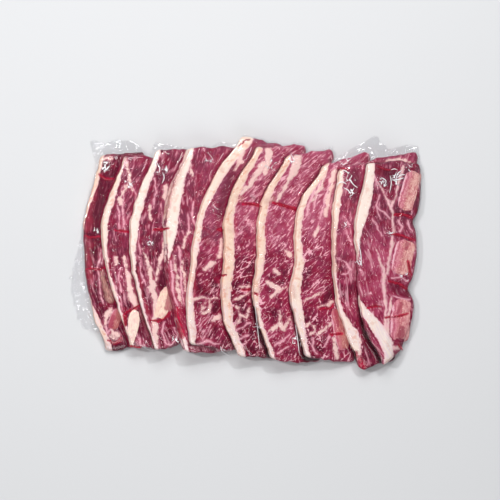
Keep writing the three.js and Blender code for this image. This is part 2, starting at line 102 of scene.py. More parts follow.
# One entry for each slice. edge is X of the fat edge from top end to bottom end, width goes
# across to the bone edge, rise is how far the two ends climb on the way, and lean is how far the
# foot of the edge lies out. fat is the width of the fat strip, fatStart its way in from the edge,
# and gap the width of the painted shade in the gap beside the next slice. A notch is Y, depth and
# reach of a hollow between ribs. Seams and veins are white, rosy marks are lean, dark marks are
# darker lean and, beside the next slice, painted shade, tan ones sinew, and a crease holds juice.
# A mark is its half width at its start and at its end, then X and Y of each point of its way.
slices = [
    {
        "top": 88, "bottom": -90, "rise": [4, 9], "lean": 1.0,
        "edge": [-132, -138.5, -145, -144.5, -142, -137, -127], "width": [40, 45, 38],
        "fat": [4.4, 4.6, 4.8, 2.7, 0.8, 0, 0, 0, 0, 0.8, 5.4, 6.8, 7],
        "gap": [0.4, 0.6, 0.8, 0.6, 0.3, 0.2, 0.2],
        "seam": [(1.2, 1.6, -132, 85, -121, 86), (2.2, 2.6, -120.5, -52, -125, -57),
            (1.4, 0.8, -125.5, -58, -127.8, -68), (2.0, 2.6, -120, -73, -115, -75.5)],
        "vein": [(0.5, 0.4, -130, 2, -133, -12, -131, -30, -128, -46), (0.6, 0.5, -127, 0, -129, -10),
            (0.7, 0.5, -121, -70, -127, -75, -126, -84), (0.6, 0.6, -127, -62, -125, -72)],
        "rosy": [(2.2, 4.0, -135, 56, -139, 42, -142, 22), (3.6, 3.0, -142, 10, -142, -8, -140, -26)],
        "darkLeanAndShade": [(6.0, 5.0, -123, 66, -130, 44, -132, 16), (4.5, 4.0, -124, -84, -112, -81)],
        "tan": [(1.2, 2.2, -129, -18, -126, -30, -121.5, -43)],
        "crease": [(0.9, 0.8, -146, 15, -138, 13.5, -130, 14.5),
            (0.7, 0.9, -146, -17, -138, -15, -125, -14.5), (1.2, 0.8, -131, 71, -126, 66, -118, 66),
            (1.0, 1.3, -124, -79, -118, -82, -112, -79)],
    },
    {
        "top": 87, "bottom": -87, "rise": [-2, 3], "lean": 1.2,
        "edge": [-109, -119.5, -128, -127, -120.5, -112.5, -103], "width": [44, 47, 44],
        "fat": [1.8, 3.6, 6.2, 6.4, 6.4, 5.0, 3.6, 2.4, 2.9, 3.6, 3.2, 3.6, 3.6],
        "gap": [0.8, 0.8, 0.6, 0.6, 0.9, 0.8, 0.8],
        "seam": [(0.8, 1.3, -108.5, 86, -105.5, 74, -103.5, 65, -101, 56),
            (1.1, 0.9, -103.5, 65, -108.5, 55, -112, 47.5), (1.9, 1.6, -111.8, 48, -111, 45),
            (1.7, 1.3, -116.5, -5, -115.5, -10),
            (1.2, 3.2, -108.8, -4, -106.1, -18, -103.5, -29, -101.5, -38.5),
            (3.2, 2.0, -101.5, -38.5, -98.5, -47)],
        "vein": [(0.6, 0.5, -109, 52, -110, 37, -107, 16), (0.5, 0.4, -114.5, 43, -112, 28, -113, 20),
            (0.5, 0.4, -116, -31, -111.5, -43, -110, -52), (0.7, 0.5, -95.5, -77, -94, -83, -89, -85),
            (0.5, 0.5, -101, 60, -97, 52, -98, 44), (0.5, 0.4, -112, -14, -113, -26, -110, -34)],
        "rosy": [(1.4, 1.6, -126, 12, -123, -12, -118, -34, -110, -52)],
        "darkLeanAndShade": [(2.2, 3.4, -100, -8, -98, -24), (3.5, 3.5, -93, -62, -92, -74)],
        "crease": [(0.8, 1.0, -116, 20.5, -108, 19.5, -103, 19),
            (0.9, 1.1, -94, -46.5, -100, -50, -107, -55.5), (1.8, 1.0, -107.5, -56, -107, -66),
            (0.8, 1.4, -104.5, -84, -93, -86)],
    },
    {
        "top": 92, "bottom": -90, "rise": [0, 15], "lean": 1.0,
        "edge": [-81, -92.5, -101.5, -102.5, -98, -91, -81], "width": [46, 50, 44],
        "fat": [5.0, 6.8, 7.6, 7.9, 8.4, 7.2, 4.8, 3.4, 3.0, 3.6, 2.9, 2.8, 3.6],
        "gap": [0.4, 0.4, 0.4, 0.6, 0.9, 0.9, 0.9],
        "seam": [(0.9, 0.8, -85.5, 42, -85, 30), (1.6, 3.0, -72, 60, -70.5, 48),
            (0.6, 2.6, -91, 3, -85, -15, -83.5, -34),
            (1.8, 2.2, -82.5, -26, -80.5, -42, -81, -58, -82.5, -84),
            (1.5, 1.4, -71, 12, -76.5, -11, -79.5, -25), (3.2, 1.8, -79.7, -66, -80.5, -87)],
        "vein": [(0.5, 0.4, -93.6, 22, -96, 10, -93, 0), (0.4, 0.5, -95, -3, -93, -16, -89, -29),
            (0.6, 0.6, -72, -63, -74, -72, -71, -81, -66, -83, -61, -75, -64, -68),
            (0.6, 0.4, -81, 66, -80, 54, -83, 40), (0.4, 0.4, -76, 44, -74, 30)],
        "rosy": [(1.3, 1.5, -96, -14, -91, -40, -84, -66, -79, -88)],
        "darkLeanAndShade": [(2.6, 3.4, -72.5, -10, -74, -30), (3.0, 3.0, -68, 4, -68, -6)],
        "tan": [(1.8, 2.2, -65.5, -30, -66, -48)],
        "crease": [(1.0, 1.5, -81, 21, -75, 20, -71, 21),
            (0.8, 1.0, -84.5, -61.5, -73, -60, -67.5, -54)],
    },
    {
        "top": 95, "bottom": -89.5, "rise": [0, 0], "lean": 3.0,
        "edge": [-51, -65, -71, -70, -68.5, -62, -55], "width": [48, 51, 46],
        "fat": [5.0, 8.4, 9.2, 10.8, 10.8, 9.8, 4.4, 0, 0, 0, 0, 3.6, 4.6],
        "fatStart": [0, 1, 2, 1.8, 1.5, 0.3, 0.5, 0.5, 0.5, 0.5, 0.5, 0.5, 0.5],
        "gap": [0.5, 0.5, 0.6, 0.8, 1.2, 1.2, 1.0],
        "seam": [(1.0, 0.8, -62.5, -3, -62, -20, -57.5, -47), (0.9, 0.7, -57, -8, -53.5, -29, -53, -43),
            (1.0, 1.3, -51.3, 17.6, -56, 5), (1.2, 0.8, -49.5, 78, -46.5, 68)],
        "vein": [(0.7, 0.5, -50.5, 34, -51.5, 16), (0.8, 0.6, -66, -8, -64, -32, -60.5, -48),
            (0.7, 0.5, -46.5, 45, -47, 32, -45, 22),
            (0.6, 0.5, -60, 6, -57.5, -10, -58, -26, -55.5, -46)],
        "rosy": [(2.2, 3.0, -67, -4, -65, -28, -60, -50, -55, -72)],
        "tan": [(1.0, 1.8, -51, 90, -59, 72, -65, 54, -70, 32)],
        "crease": [(0.6, 2.2, -60.8, -49, -58.8, -60, -55, -75), (1.0, 0.4, -69, 22, -73, 21)],
    },
    {
        "top": 106.5, "bottom": -83, "rise": [-11, -7], "lean": 0.8,
        "edge": [-4.5, -25, -38.5, -45.5, -48.5, -52, -49.5], "width": [42, 50, 50],
        "fat": [13, 11, 9.8, 8.1, 6.0, 5.2, 5.6, 4.8, 3.2, 4.0, 6.4, 7.2, 5.5],
        "gap": [1.0, 1.2, 1.4, 1.6, 1.6, 1.8, 1.6],
        "seam": [(3.0, 2.6, -1.5, 101, -4.5, 82), (1.0, 0.6, -6, 81, -9, 74),
            (1.7, 2.2, -36, -14, -29.5, -9), (2.0, 1.6, -23.5, -4, -20, 11),
            (0.9, 0.8, -48.6, -42, -41, -40, -36, -40, -31.5, -42, -26, -41),
            (0.9, 0.7, -35, -41, -39.5, -52), (1.0, 1.3, -32.5, -43, -33, -53.5, -37, -54.5),
            (1.2, 2.2, -28, -62, -22.5, -57)],
        "vein": [(0.4, 0.4, -41, -66, -30.5, -54), (0.7, 0.6, -43, -81.5, -33, -79.8, -22.5, -82),
            (0.4, 0.3, -38, -79, -30, -66)],
        "rosy": [(1.2, 1.2, -45, -20, -46, -40), (1.0, 1.6, -46, -76, -30, -80),
            (1.6, 1.8, -3, 105, 4, 107)],
        "darkLeanAndShade": [(3.0, 4.0, -10, 76, -16, 56, -22, 34)],
        "tan": [(1.2, 1.4, -25, 74, -21, 75)],
        "crease": [(1.0, 1.8, -24, 20.5, -19, 20), (0.6, 0.5, -5.4, 96, 0, 101, 4, 102)],
    },
    {
        "top": 94, "bottom": -95, "rise": [4, 1], "lean": 0.9,
        "edge": [9, -9, -18, -18, -20.5, -18.5, -7], "width": [46, 50, 46],
        "fat": [6.5, 8.6, 9.2, 8.4, 8.2, 9, 8.8, 9.6, 8.6, 8.6, 8.8, 8.6, 7.6],
        "gap": [1.0, 1.0, 1.4, 2.2, 3.6, 4.2, 3.6],
        "seam": [(3.2, 2.2, 22, 91, 19, 78, 17.5, 71), (2.6, 1.8, 16, 79, 9, 68, 4.5, 60, -3.5, 52),
            (0.9, 1.0, 11, 92, 4, 80, -0.5, 68), (0.7, 0.8, -4.5, -30, 6.5, -31),
            (1.0, 0.8, -11, -43, -3, -39.5, 4.5, -34.5), (0.9, 1.1, -8, -48, -3.6, -56, 1.8, -58),
            (1.1, 0.8, 1.8, -57, 4.6, -50), (0.9, 0.7, -3, -57, -9.5, -66)],
        "vein": [(0.6, 0.5, -10.8, -70, -2, -67, 4.5, -63), (0.6, 0.5, -7, -78, 3, -74),
            (0.5, 0.4, -9, -86, 1, -81)],
        "rosy": [(1.2, 1.2, -9, 32, -8, 16)],
        "darkLeanAndShade": [(0.8, 1.4, 6, 50, 11, 45)],
        "tan": [(1.8, 1.0, -6, 49.5, -3, 47.5), (1.4, 0.8, -15, 20, -10, 20)],
        "crease": [(1.0, 1.5, -1.5, 44, 8, 43, 15.5, 41), (0.9, 0.6, -22, -20.3, -16, -19.4),
            (0.8, 0.6, -3, -33, 6, -33), (2.0, 2.2, -16, -91, -8, -93)],
    },
    {
        "top": 86, "bottom": -97.5, "rise": [8, -2], "lean": 0.9,
        "edge": [36, 18, 11.5, 11.5, 8, 12.5, 22.5], "width": [44, 50, 46],
        "fat": [6.0, 8.8, 8.2, 7.4, 6.6, 7.2, 6.3, 5.4, 5, 4.5, 4.5, 5.4, 5.4],
        "gap": [1.0, 1.2, 1.4, 1.6, 2.0, 2.8, 4.4],
        "seam": [(4.0, 3.0, 47, 84, 44, 72), (2.8, 1.3, 42, 70, 35, 57, 28.8, 47),
            (1.1, 0.9, 35, 84, 31, 72, 27, 62), (1.6, 2.4, 20, -27, 26, -30, 31, -33),
            (2.6, 1.8, 30, -33, 24, -40), (1.0, 0.6, 31, -33, 36.5, -31), (1.6, 2.6, 36, 0.5, 40, -1.5),
            (1.5, 2.1, 31.5, -53, 30.6, -63, 34.2, -69), (1.1, 0.7, 30.6, -63, 22.5, -70),
            (1.2, 0.9, 34, -68, 40.5, -60), (1.2, 1.0, 26, -16, 31, -20)],
        "vein": [(0.8, 0.6, 27, -83, 35, -79, 40.5, -74), (0.6, 0.6, 20, -78, 28, -72),
            (0.6, 0.6, 29, -91, 38, -84)],
        "rosy": [(1.2, 1.2, 18, 30, 18, 14)],
        "tan": [(2.6, 2.0, 19, 46, 24, 48.5), (1.2, 1.0, 10, -28, 12, -34)],
        "crease": [(1.1, 1.7, 25, 45, 36, 42, 47, 38.5), (1.0, 1.0, 8, -36, 11, -37)],
    },
    {
        "top": 78, "bottom": -95, "rise": [14, -4], "lean": 0.9,
        "edge": [69, 50.5, 45, 46, 40.5, 46, 54], "width": [44, 50, 46],
        "fat": [7.2, 9.4, 8.2, 6.3, 5.9, 5.6, 7.2, 8.6, 9.6, 9.8, 8.2, 5.8, 4.6],
        "gap": [0.9, 0.9, 0.9, 1.0, 1.2, 1.4, 1.6],
        "seam": [(1.3, 1.0, 74.5, 79, 69.5, 61, 60, 47), (1.8, 2.2, 80.5, 74, 77, 56, 71.5, 34),
            (1.3, 1.5, 66, 24, 63, 15), (1.0, 0.9, 54, -43, 62, -39, 69.3, -36),
            (0.8, 0.8, 66, -49.5, 73, -47.5, 79, -44.5), (1.1, 0.8, 65.5, -74, 71, -70, 76.5, -64),
            (1.5, 1.5, 80, -77, 83, -95), (1.0, 1.0, 56, -66, 59, -64, 62.5, -66, 62, -71, 58.5, -73)],
        "vein": [(0.9, 0.6, 62, -78, 60, -84, 64, -90), (0.8, 0.7, 72, -84, 76, -74),
            (1.2, 0.8, 66, 70, 62, 56, 57, 44, 55, 34), (1.1, 0.7, 71, 73, 66, 58, 62, 46, 61, 36),
            (1.0, 0.7, 77, 66, 73, 52, 69, 40, 67, 30), (1.0, 0.7, 85, 74, 82, 60, 78, 44),
            (0.7, 0.6, 60, 62, 56, 52, 54, 42)],
        "rosy": [(1.0, 1.0, 52, -76, 54, -86)],
        "tan": [(1.4, 1.0, 42.5, -30, 45, -40)],
        "crease": [(0.9, 0.8, 67, -51.5, 75, -50, 79, -47), (1.2, 1.3, 76.5, -73.5, 87.5, -73.2)],
    },
    {
        "top": 75, "bottom": -106, "rise": [17, 8], "lean": 0.8,
        "edge": [84, 79.5, 78.5, 79, 82.5, 91, 102.5], "width": [72, 54, 34],
        "fat": [4.5, 6.2, 6.0, 5.4, 3.4, 2.4, 2.4, 3.0, 3.6, 5.8, 11.6, 7.0, -2],
        "gap": [0.8, 0.9, 1.2, 1.6, 2.6, 3.8, 4],
        "seam": [(1.6, 1.0, 96, 90, 93, 78), (1.2, 1.2, 106, 88, 112, 80, 118, 78),
            (1.4, 1.8, 128, 82, 140, 84, 150, 82)],
        "vein": [(0.5, 0.4, 82, -5, 90, -8, 96, -15.5, 97.2, -25),
            (0.4, 0.3, 85.5, -20, 91, -19, 95, -15), (0.5, 0.4, 90, 20, 96, 7),
            (0.4, 0.4, 88, 33, 93, 24)],
        "rosy": [(2.0, 2.4, 124, 76, 142, 78), (1.0, 1.0, 88, -64, 94, -80),
            (3.0, 4.5, 99, -90, 106, -103)],
        "darkLeanAndShade": [(5.0, 4.0, 98, 70, 99, 50), (2.6, 3.2, 101, -28, 104, -60, 110, -84)],
        "tan": [(0.9, 1.3, 79.5, 28, 79.5, -4, 80.5, -16)],
        "crease": [(1.0, 1.1, 118, 77, 128, 74, 140, 76), (1.0, 2.6, 100, -89, 103, -97, 106.5, -104),
            (0.8, 0.6, 83, 75.5, 92, 74)],
    },
    {
        "top": 80, "bottom": -102, "rise": [3, 14], "lean": 1.0,
        "edge": [109, 103, 98.5, 101.5, 102.5, 108, 124], "width": [49.5, 55, 56, 53.5, 48.5, 44, 19],
        "fat": [7.2, 9.2, 10.8, 10.4, 6.4, 2.4, 0, 0, 0, 9.6, 11.6, 10, 8],
        "fatStart": [0, 0, 0, 0, 0, 0, 0, 0, 0, 0, 5.4, 6, 1.5],
        "notches": [(28, 3.4, 6), (-33, 4.2, 7)],
        "seam": [(0.3, 1.0, 118, 64, 128.5, 47, 132.3, 36), (1.0, 0.6, 132.3, 36, 133.2, 16, 130.5, 6),
            (0.3, 1.5, 116, 6, 120, -6, 123.4, -16, 124.6, -26),
            (1.5, 1.0, 124.6, -26, 125, -38, 126.9, -50),
            (1.0, 1.7, 126.9, -50, 126.4, -66, 127.5, -84), (1.2, 1.0, 142, 77, 137.5, 60, 131.5, 40),
            (1.6, 1.8, 130, -86, 139, -86), (1.2, 1.0, 133, 13, 129.5, -4, 127, -19),
            (1.0, 1.2, 132, -41, 129, -60, 128, -80), (1.6, 0.9, 110, -58, 116, -62)],
        "vein": [(0.4, 0.4, 119, 40, 126, 36, 130, 30), (0.5, 0.4, 120, 52, 118, 42, 121, 30),
            (0.4, 0.4, 114, 30, 122, 14), (0.6, 0.5, 112, 74, 117, 66, 118, 58),
            (0.9, 0.7, 138, 29, 141, 24, 138, 19), (0.8, 0.6, 146, 28, 148, 22, 151, 19),
            (0.5, 0.5, 132, -22, 140, -22, 147, -26), (0.6, 0.5, 134, -40, 141, -42, 149, -42)],
        "rosy": [(3.0, 2.4, 113, 75, 122, 71)],
        "darkLeanAndShade": [(4.2, 4.6, 133, -30, 146, -37), (3.4, 3.0, 132, -91, 136, -96),
            (3.6, 3.2, 114, 74, 134, 70), (4.0, 3.0, 143, -84, 138, -90)],
        "crease": [(1.0, 1.0, 109, -49, 116, -47.5, 121.5, -48),
            (1.2, 1.5, 134, 34.5, 142, 34.5, 149, 32), (0.9, 1.2, 133, 16.5, 143, 14.5, 152, 11),
            (0.9, 1.1, 128.5, -25, 138, -28, 147, -33), (0.9, 1.0, 126.5, -58, 137, -57.5, 147, -55),
            (1.0, 1.4, 139, -83, 143, -89), (1.2, 1.6, 147, -8, 149.5, -20)],
    },
]
wallShares = np.linspace(0, 1, pack["wallRows"] + 2)[1:-1]
outside = -20.0  # depth in a mark of a point that lies nowhere near it
noFat = -3.0  # depth in the fat strip where a slice has none


# Catmull-Rom: the cubic between b and c whose slopes there are half of c - a and of d - b
def curveThrough(values, t):
    values = np.asarray(values, float)
    last = len(values) - 1
    place = np.clip(t, 0, 1) * last
    i = np.minimum(place.astype(int), last - 1)
    f = place - i
    a = values[np.maximum(i - 1, 0)]
    b = values[i]
    c = values[i + 1]
    d = values[np.minimum(i + 2, last)]
    return b + 0.5 * f * (c - a + f * (2 * a - 5 * b + 4 * c - d + f * (3 * (b - c) + d - a)))


# 3 s^2 - 2 s^3 of the share s that value has gone from low to high
def easeBetween(value, low, high):
    s = np.clip((value - low) / (high - low), 0, 1)
    return s * s * (3 - 2 * s)


# Value between four cells of a map: along both rows by fx, then across them by fy
def betweenCells(cells, i, j, nextI, nextJ, fx, fy):
    low = cells[j, i] * (1 - fx) + cells[j, nextI] * fx
    high = cells[nextJ, i] * (1 - fx) + cells[nextJ, nextI] * fx
    return low * (1 - fy) + high * fy


# Smooth hills from -1 to 1: seeded random heights on a lattice of the given pitch, eased between
def hills(x, y, pitch, seed):
    side = 128
    heights = np.random.default_rng(seed).random((side, side)) * 2 - 1
    px = x / pitch + side * 8  # moved by whole lattices, so that no place is negative
    py = y / pitch + side * 8
    i = np.floor(px).astype(int)
    j = np.floor(py).astype(int)
    fx = easeBetween(px - i, 0, 1)
    fy = easeBetween(py - j, 0, 1)
    return betweenCells(heights, i % side, j % side, (i + 1) % side, (j + 1) % side, fx, fy)


# Layers of hills added up; k gives each slice or rib its own
def roughen(layers, k, x, y):
    return sum(height * hills(x, y, pitch, seed + k) for height, pitch, seed in rough[layers])


# Sharp ridges along the lines where hills cross zero: 1 less their size times a sharpness
def sharpRidges(x, y, pitch, seed, sharpness):
    return 1 - sharpness * np.abs(hills(x, y, pitch, seed))


# Where (u, v) of slice k lies in plan: u goes from fat edge to bone edge, v from top to bottom
def planPoint(k, u, v):
    cut = slices[k]
    power = pack["squareness"]
    inset = 1 - (1 - np.abs(2 * u - 1) ** power) ** (1 / power)
    upper = cut["top"] + cut["rise"][0] * u - pack["cornerTop"] * inset
    lower = cut["bottom"] + cut["rise"][1] * u + pack["cornerBottom"] * inset
    y = upper + (lower - upper) * v
    x = curveThrough(cut["edge"], v) + u * curveThrough(cut["width"], v)
    for middle, depth, reach in cut.get("notches", []):
        x = x - depth * u * u * np.exp(-(((y - middle) / reach) ** 2))
    return x, y


# Where a plan point lies on slice k, by walking u and v towards it, and how far off it ends
def placeOn(k, x, y):
    cut = slices[k]
    u = np.full_like(x, 0.5)
    v = np.full_like(x, 0.5)
    miss = np.zeros_like(x)
    for _ in range(pack["searchSteps"]):
        px, py = planPoint(k, u, v)
        miss = np.hypot(x - px, y - py)
        u = np.clip(u + (x - px) / curveThrough(cut["width"], v), 0, 1)
        v = np.clip(v - (y - py) / (cut["top"] - cut["bottom"]), 0, 1)
    return u, v, miss


# Height of a fat edge: one thickness over the face of the slice that it leans on
def leanHeight(k, v):
    if k == 0:
        return np.full_like(v, pack["firstEdge"])
    cut = slices[k]
    before = slices[k - 1]
    y = cut["top"] + (cut["bottom"] - cut["top"]) * v
    vBefore = np.clip((before["top"] - y) / (before["top"] - before["bottom"]), 0, 1)
    offset = curveThrough(cut["edge"], v) - curveThrough(before["edge"], vBefore)
    return faceHeight(k - 1, offset / curveThrough(before["width"], vBefore), vBefore) + pack["thickness"]


# A straight fall from the fat edge to the low bone edge, with half a sine of swell on it
def faceHeight(k, u, v):
    high = leanHeight(k, v)
    return high + (pack["lowEdge"] - high) * u + pack["crown"] * np.sin(np.pi * np.clip(u, 0, 1))


# The face less the sag of its two ends and a quarter round along its border
def topHeight(k, u, v):
    cut = slices[k]
    span = curveThrough(cut["width"], v)
    toEnd = np.minimum(v, 1 - v) * (cut["top"] - cut["bottom"])
    border = np.minimum(np.minimum(u, 1 - u) * span, toEnd)
    inside = np.clip(1 - border / pack["edgeRound"], 0, 1)
    drop = pack["edgeRound"] * (1 - np.sqrt(1 - inside * inside))
    return faceHeight(k, u, v) - pack["droop"] * np.exp(-toEnd / pack["droopLength"]) - drop


# How deep a point lies inside the deepest of some marks: half width less distance to the way
def markDepth(marks, x, y):
    depth = np.full_like(x, outside)
    for startHalf, endHalf, *way in marks:
        points = np.reshape(way, (-1, 2)).tolist()
        halves = np.linspace(startHalf, endHalf, len(points))
        for i, ((ax, ay), (bx, by)) in enumerate(zip(points[:-1], points[1:])):
            dx, dy = bx - ax, by - ay
            t = np.clip(((x - ax) * dx + (y - ay) * dy) / (dx * dx + dy * dy), 0, 1)
            half = halves[i] + (halves[i + 1] - halves[i]) * t
            depth = np.maximum(depth, half - np.hypot(x - ax - dx * t, y - ay - dy * t))
    return depth


# How deep a point lies inside slice k's fat strip, from the strip's own start and width
def fatDepth(k, u, v):
    cut = slices[k]
    across = u * curveThrough(cut["width"], v)
    start = curveThrough(cut.get("fatStart", [0, 0]), v)
    width = np.maximum(curveThrough(cut["fat"], v), 0)
    inner = width - pack["fatTrim"] + start - across
    outer = np.where(start > 0.4, across - start, 5.0)  # a strip at the edge has no outer border
    return np.where(width > 0.3, np.minimum(inner, outer), noFat)


# Low relief of a cut face: proud fat and seams, drawn-in creases and soft hills
def faceRelief(k, u, v, x, y):
    fat = pack["fatProud"] * easeBetween(fatDepth(k, u, v), -0.6, 1.2)
    crease = pack["creaseDepth"] * easeBetween(markDepth(slices[k]["crease"], x, y), -1.0, 0.6)
    seam = pack["seamProud"] * easeBetween(markDepth(slices[k]["seam"], x, y), -0.6, 0.8)
    return fat + seam - crease + roughen("face", k, x, y)


# A new object at the origin of the scene
def addObject(name, data):
    made = bpy.data.objects.new(name, data)
    bpy.context.scene.collection.objects.link(made)
    return made


# Puts whole arrays of places and faces into a smooth mesh object; a face's loops start where
# those of all faces before it end
def makePiece(name, places, quads, triangles=np.zeros((0, 3), int)):
    corners = np.concatenate([quads.ravel(), triangles.ravel()])
    sizes = np.concatenate([np.full(len(quads), 4), np.full(len(triangles), 3)])
    mesh = bpy.data.meshes.new(name)
    mesh.vertices.add(len(places))
    mesh.vertices.foreach_set("co", (places * mm).astype(np.float32).ravel())
    mesh.loops.add(len(corners))
    mesh.loops.foreach_set("vertex_index", corners.astype(np.int32))
    mesh.polygons.add(len(sizes))
    mesh.polygons.foreach_set("loop_start", (np.cumsum(sizes) - sizes).astype(np.int32))
    mesh.polygons.foreach_set("use_smooth", np.ones(len(sizes), bool))
    mesh.update(calc_edges=True)
    mesh.validate()
    return addObject(name, mesh)


# Gives each vertex one number or one vector that the material reads by name
def addNumbers(piece, name, values):
    kind, field = ("FLOAT_VECTOR", "vector") if values.ndim == 2 else ("FLOAT", "value")
    layer = piece.data.attributes.new(name, kind, "POINT")
    layer.data.foreach_set(field, values.astype(np.float32).ravel())


# The tables' X and Y less the pack's middle, so that it lies at the origin
def inFrame(x, y, z):
    return np.stack([x - pack["centre"][0], y - pack["centre"][1], z], axis=-1)


# Quads of a grid of rows by columns whose first vertex is at start, wound to face up
def gridQuads(rows, columns, start=0, flip=False):
    at = start + np.arange(rows * columns).reshape(rows, columns)
    quads = np.stack([at[:-1, :-1], at[1:, :-1], at[1:, 1:], at[:-1, 1:]], axis=-1).reshape(-1, 4)
    return quads[:, ::-1] if flip else quads


# Vertex numbers round the border of such a grid, in the order of its first row
def borderLoop(rows, columns):
    at = np.arange(rows * columns).reshape(rows, columns)
    return np.concatenate([at[0, :-1], at[:-1, -1], at[-1, :0:-1], at[:0:-1, 0]])


# Quads from each ring of vertex numbers to the next, each ring closed on itself
def ringQuads(rings, flip=False):
    turned = np.roll(rings, -1, axis=1)
    quads = np.stack([rings[:-1], rings[1:], turned[1:], turned[:-1]], axis=-1).reshape(-1, 4)
    return quads[:, [0, 3, 2, 1]] if flip else quads


# Columns are closer at the fat edge and rows at the two ends, by parts of a sine
def sliceGrid():
    s = np.linspace(0, 1, pack["columns"])
    u = s - 0.10 * np.sin(np.pi * s) * (1 - s)
    v = np.linspace(0, 1, pack["rows"])
    v = v - 0.02 * np.sin(2 * np.pi * v)
    return np.meshgrid(u, v)


# Underside of slice k: the floor, or just over the faces of the slices that it lies on
def undersideHeight(k, x, y, top):
    under = np.full_like(x, pack["floorGap"])
    for j in range(max(0, k - pack["layReach"]), k):
        u, v, miss = placeOn(j, x, y)
        lies = topHeight(j, u, v) + faceRelief(j, u, v, x, y) + pack["layGap"]
        under = np.where(miss < pack["nearEnough"], np.maximum(under, lies), under)
    return np.minimum(under, top - pack["thinnest"])


# How deep a point of slice k lies in the painted shade of the gap beside the next slice: the
# gap's width less the distance to that slice's edge and to its end
def gapShadeDepth(k, x, y):
    if k == len(slices) - 1:
        return np.full_like(x, outside)
    after = slices[k + 1]
    v = np.clip((after["top"] - y) / (after["top"] - after["bottom"]), 0, 1)
    toEdge = np.maximum(curveThrough(after["edge"], v) - x, 0)
    beyond = np.abs(y - np.clip(y, after["bottom"], after["top"]))
    return curveThrough(slices[k]["gap"], v) - toEdge - beyond


# Face and underside of slice k: its outline with waves that die away by powers from its edges,
# then the heights of the two
def sliceFaces(k, u, v):
    x, y = planPoint(k, u, v)
    x = x + roughen("edge", k, y, x) * (1 - u) ** pack["edgeFade"]
    y = y + roughen("end", k, x, u * 0) * (2 * v - 1) ** pack["endFade"]
    calm = np.clip(np.minimum(v, 1 - v) * 60, 0.3, 1)  # less relief at the very ends
    z = topHeight(k, u, v) + faceRelief(k, u, v, x, y) * calm
    lowX = x - slices[k]["lean"] * (1 - u) ** pack["leanFade"]
    return (x, y, z), (lowX, y, undersideHeight(k, lowX, y, z))


# Rings of the wall between two borders, moved outward by half a sine with hills on it
def wallRings(k, u, v, top, low):
    outward = np.stack([2 * u - 1, 1 - 2 * v], axis=-1)
    outward = np.sign(outward) * (np.abs(outward) > 0.999)
    rings = []
    for share in wallShares:
        ring = top * (1 - share) + low * share
        swell = pack["wallBulge"] + roughen("wall", k, ring[:, 0] + ring[:, 1], ring[:, 2] * 2)
        ring[:, :2] += outward * (swell * np.sin(np.pi * share))[:, None]
        rings.append(ring)
    return rings


# What the material reads at each vertex of slice k: depths in its fat, its marks and the painted
# shade of the gap, its shares along and distances across, and a place for the grain
def describeSlice(piece, k, u, v, x, y, loop):
    cut = slices[k]

    # A face's numbers carried to the underside and down the walls, unless those have their own
    def spread(values, under=None, wall=None):
        flat = values.ravel()
        wall = flat[loop] if wall is None else np.full(len(loop), wall)
        under = flat if under is None else np.full(len(flat), under)
        return np.concatenate([flat, under] + [wall] * len(wallShares))

    across = u * curveThrough(cut["width"], v)
    fat = fatDepth(k, u, v)
    atEdge = (u < 0.001) & (fat > noFat + 0.5)
    fatWall = np.where(atEdge, np.maximum(fat, 0.2), fat).ravel()[loop]  # fat below a fat edge
    addNumbers(piece, "fat", spread(fat, wall=fatWall))
    addNumbers(piece, "along", spread(v))
    addNumbers(piece, "outer", spread(across, wall=2.0))  # too far in to be stained
    markX = x + roughen("markX", k, x, y)
    markY = y + roughen("markY", k, x, y)
    for kind in ("seam", "vein", "rosy", "darkLeanAndShade", "tan", "crease"):
        addNumbers(piece, kind, spread(markDepth(cut.get(kind, []), markX, markY), under=outside))
    addNumbers(piece, "gapShade", spread(gapShadeDepth(k, x, y), under=outside, wall=outside))
    down = v * (cut["top"] - cut["bottom"])
    grain = np.stack([across, down, np.full_like(u, pack["grainStep"] * k)], axis=-1).reshape(-1, 3)
    deep = np.array([0, 0, pack["thickness"]])
    wallGrain = [grain[loop] + deep * share for share in wallShares]
    addNumbers(piece, "grain", np.concatenate([grain, grain + deep] + wallGrain))


# A slice: its cut face, its underside and the wall between the two
def makeSlice(k):
    u, v = sliceGrid()
    rows, columns = u.shape
    count = rows * columns
    face, under = sliceFaces(k, u, v)
    top = inFrame(*face).reshape(-1, 3)
    low = inFrame(*under).reshape(-1, 3)
    loop = borderLoop(rows, columns)
    rings = wallRings(k, u.ravel()[loop], v.ravel()[loop], top[loop], low[loop])
    ringAt = 2 * count + np.arange(len(rings) * len(loop)).reshape(len(rings), -1)
    quads = [
        gridQuads(rows, columns),
        gridQuads(rows, columns, count, flip=True),
        ringQuads(np.concatenate([loop[None], ringAt, loop[None] + count]), flip=True),
    ]
    places = np.concatenate([top, low] + rings)
    piece = makePiece(f"slice_{k + 1:02d}_meat", places, np.concatenate(quads))
    describeSlice(piece, k, u, v, face[0], face[1], loop)
    return piece, face


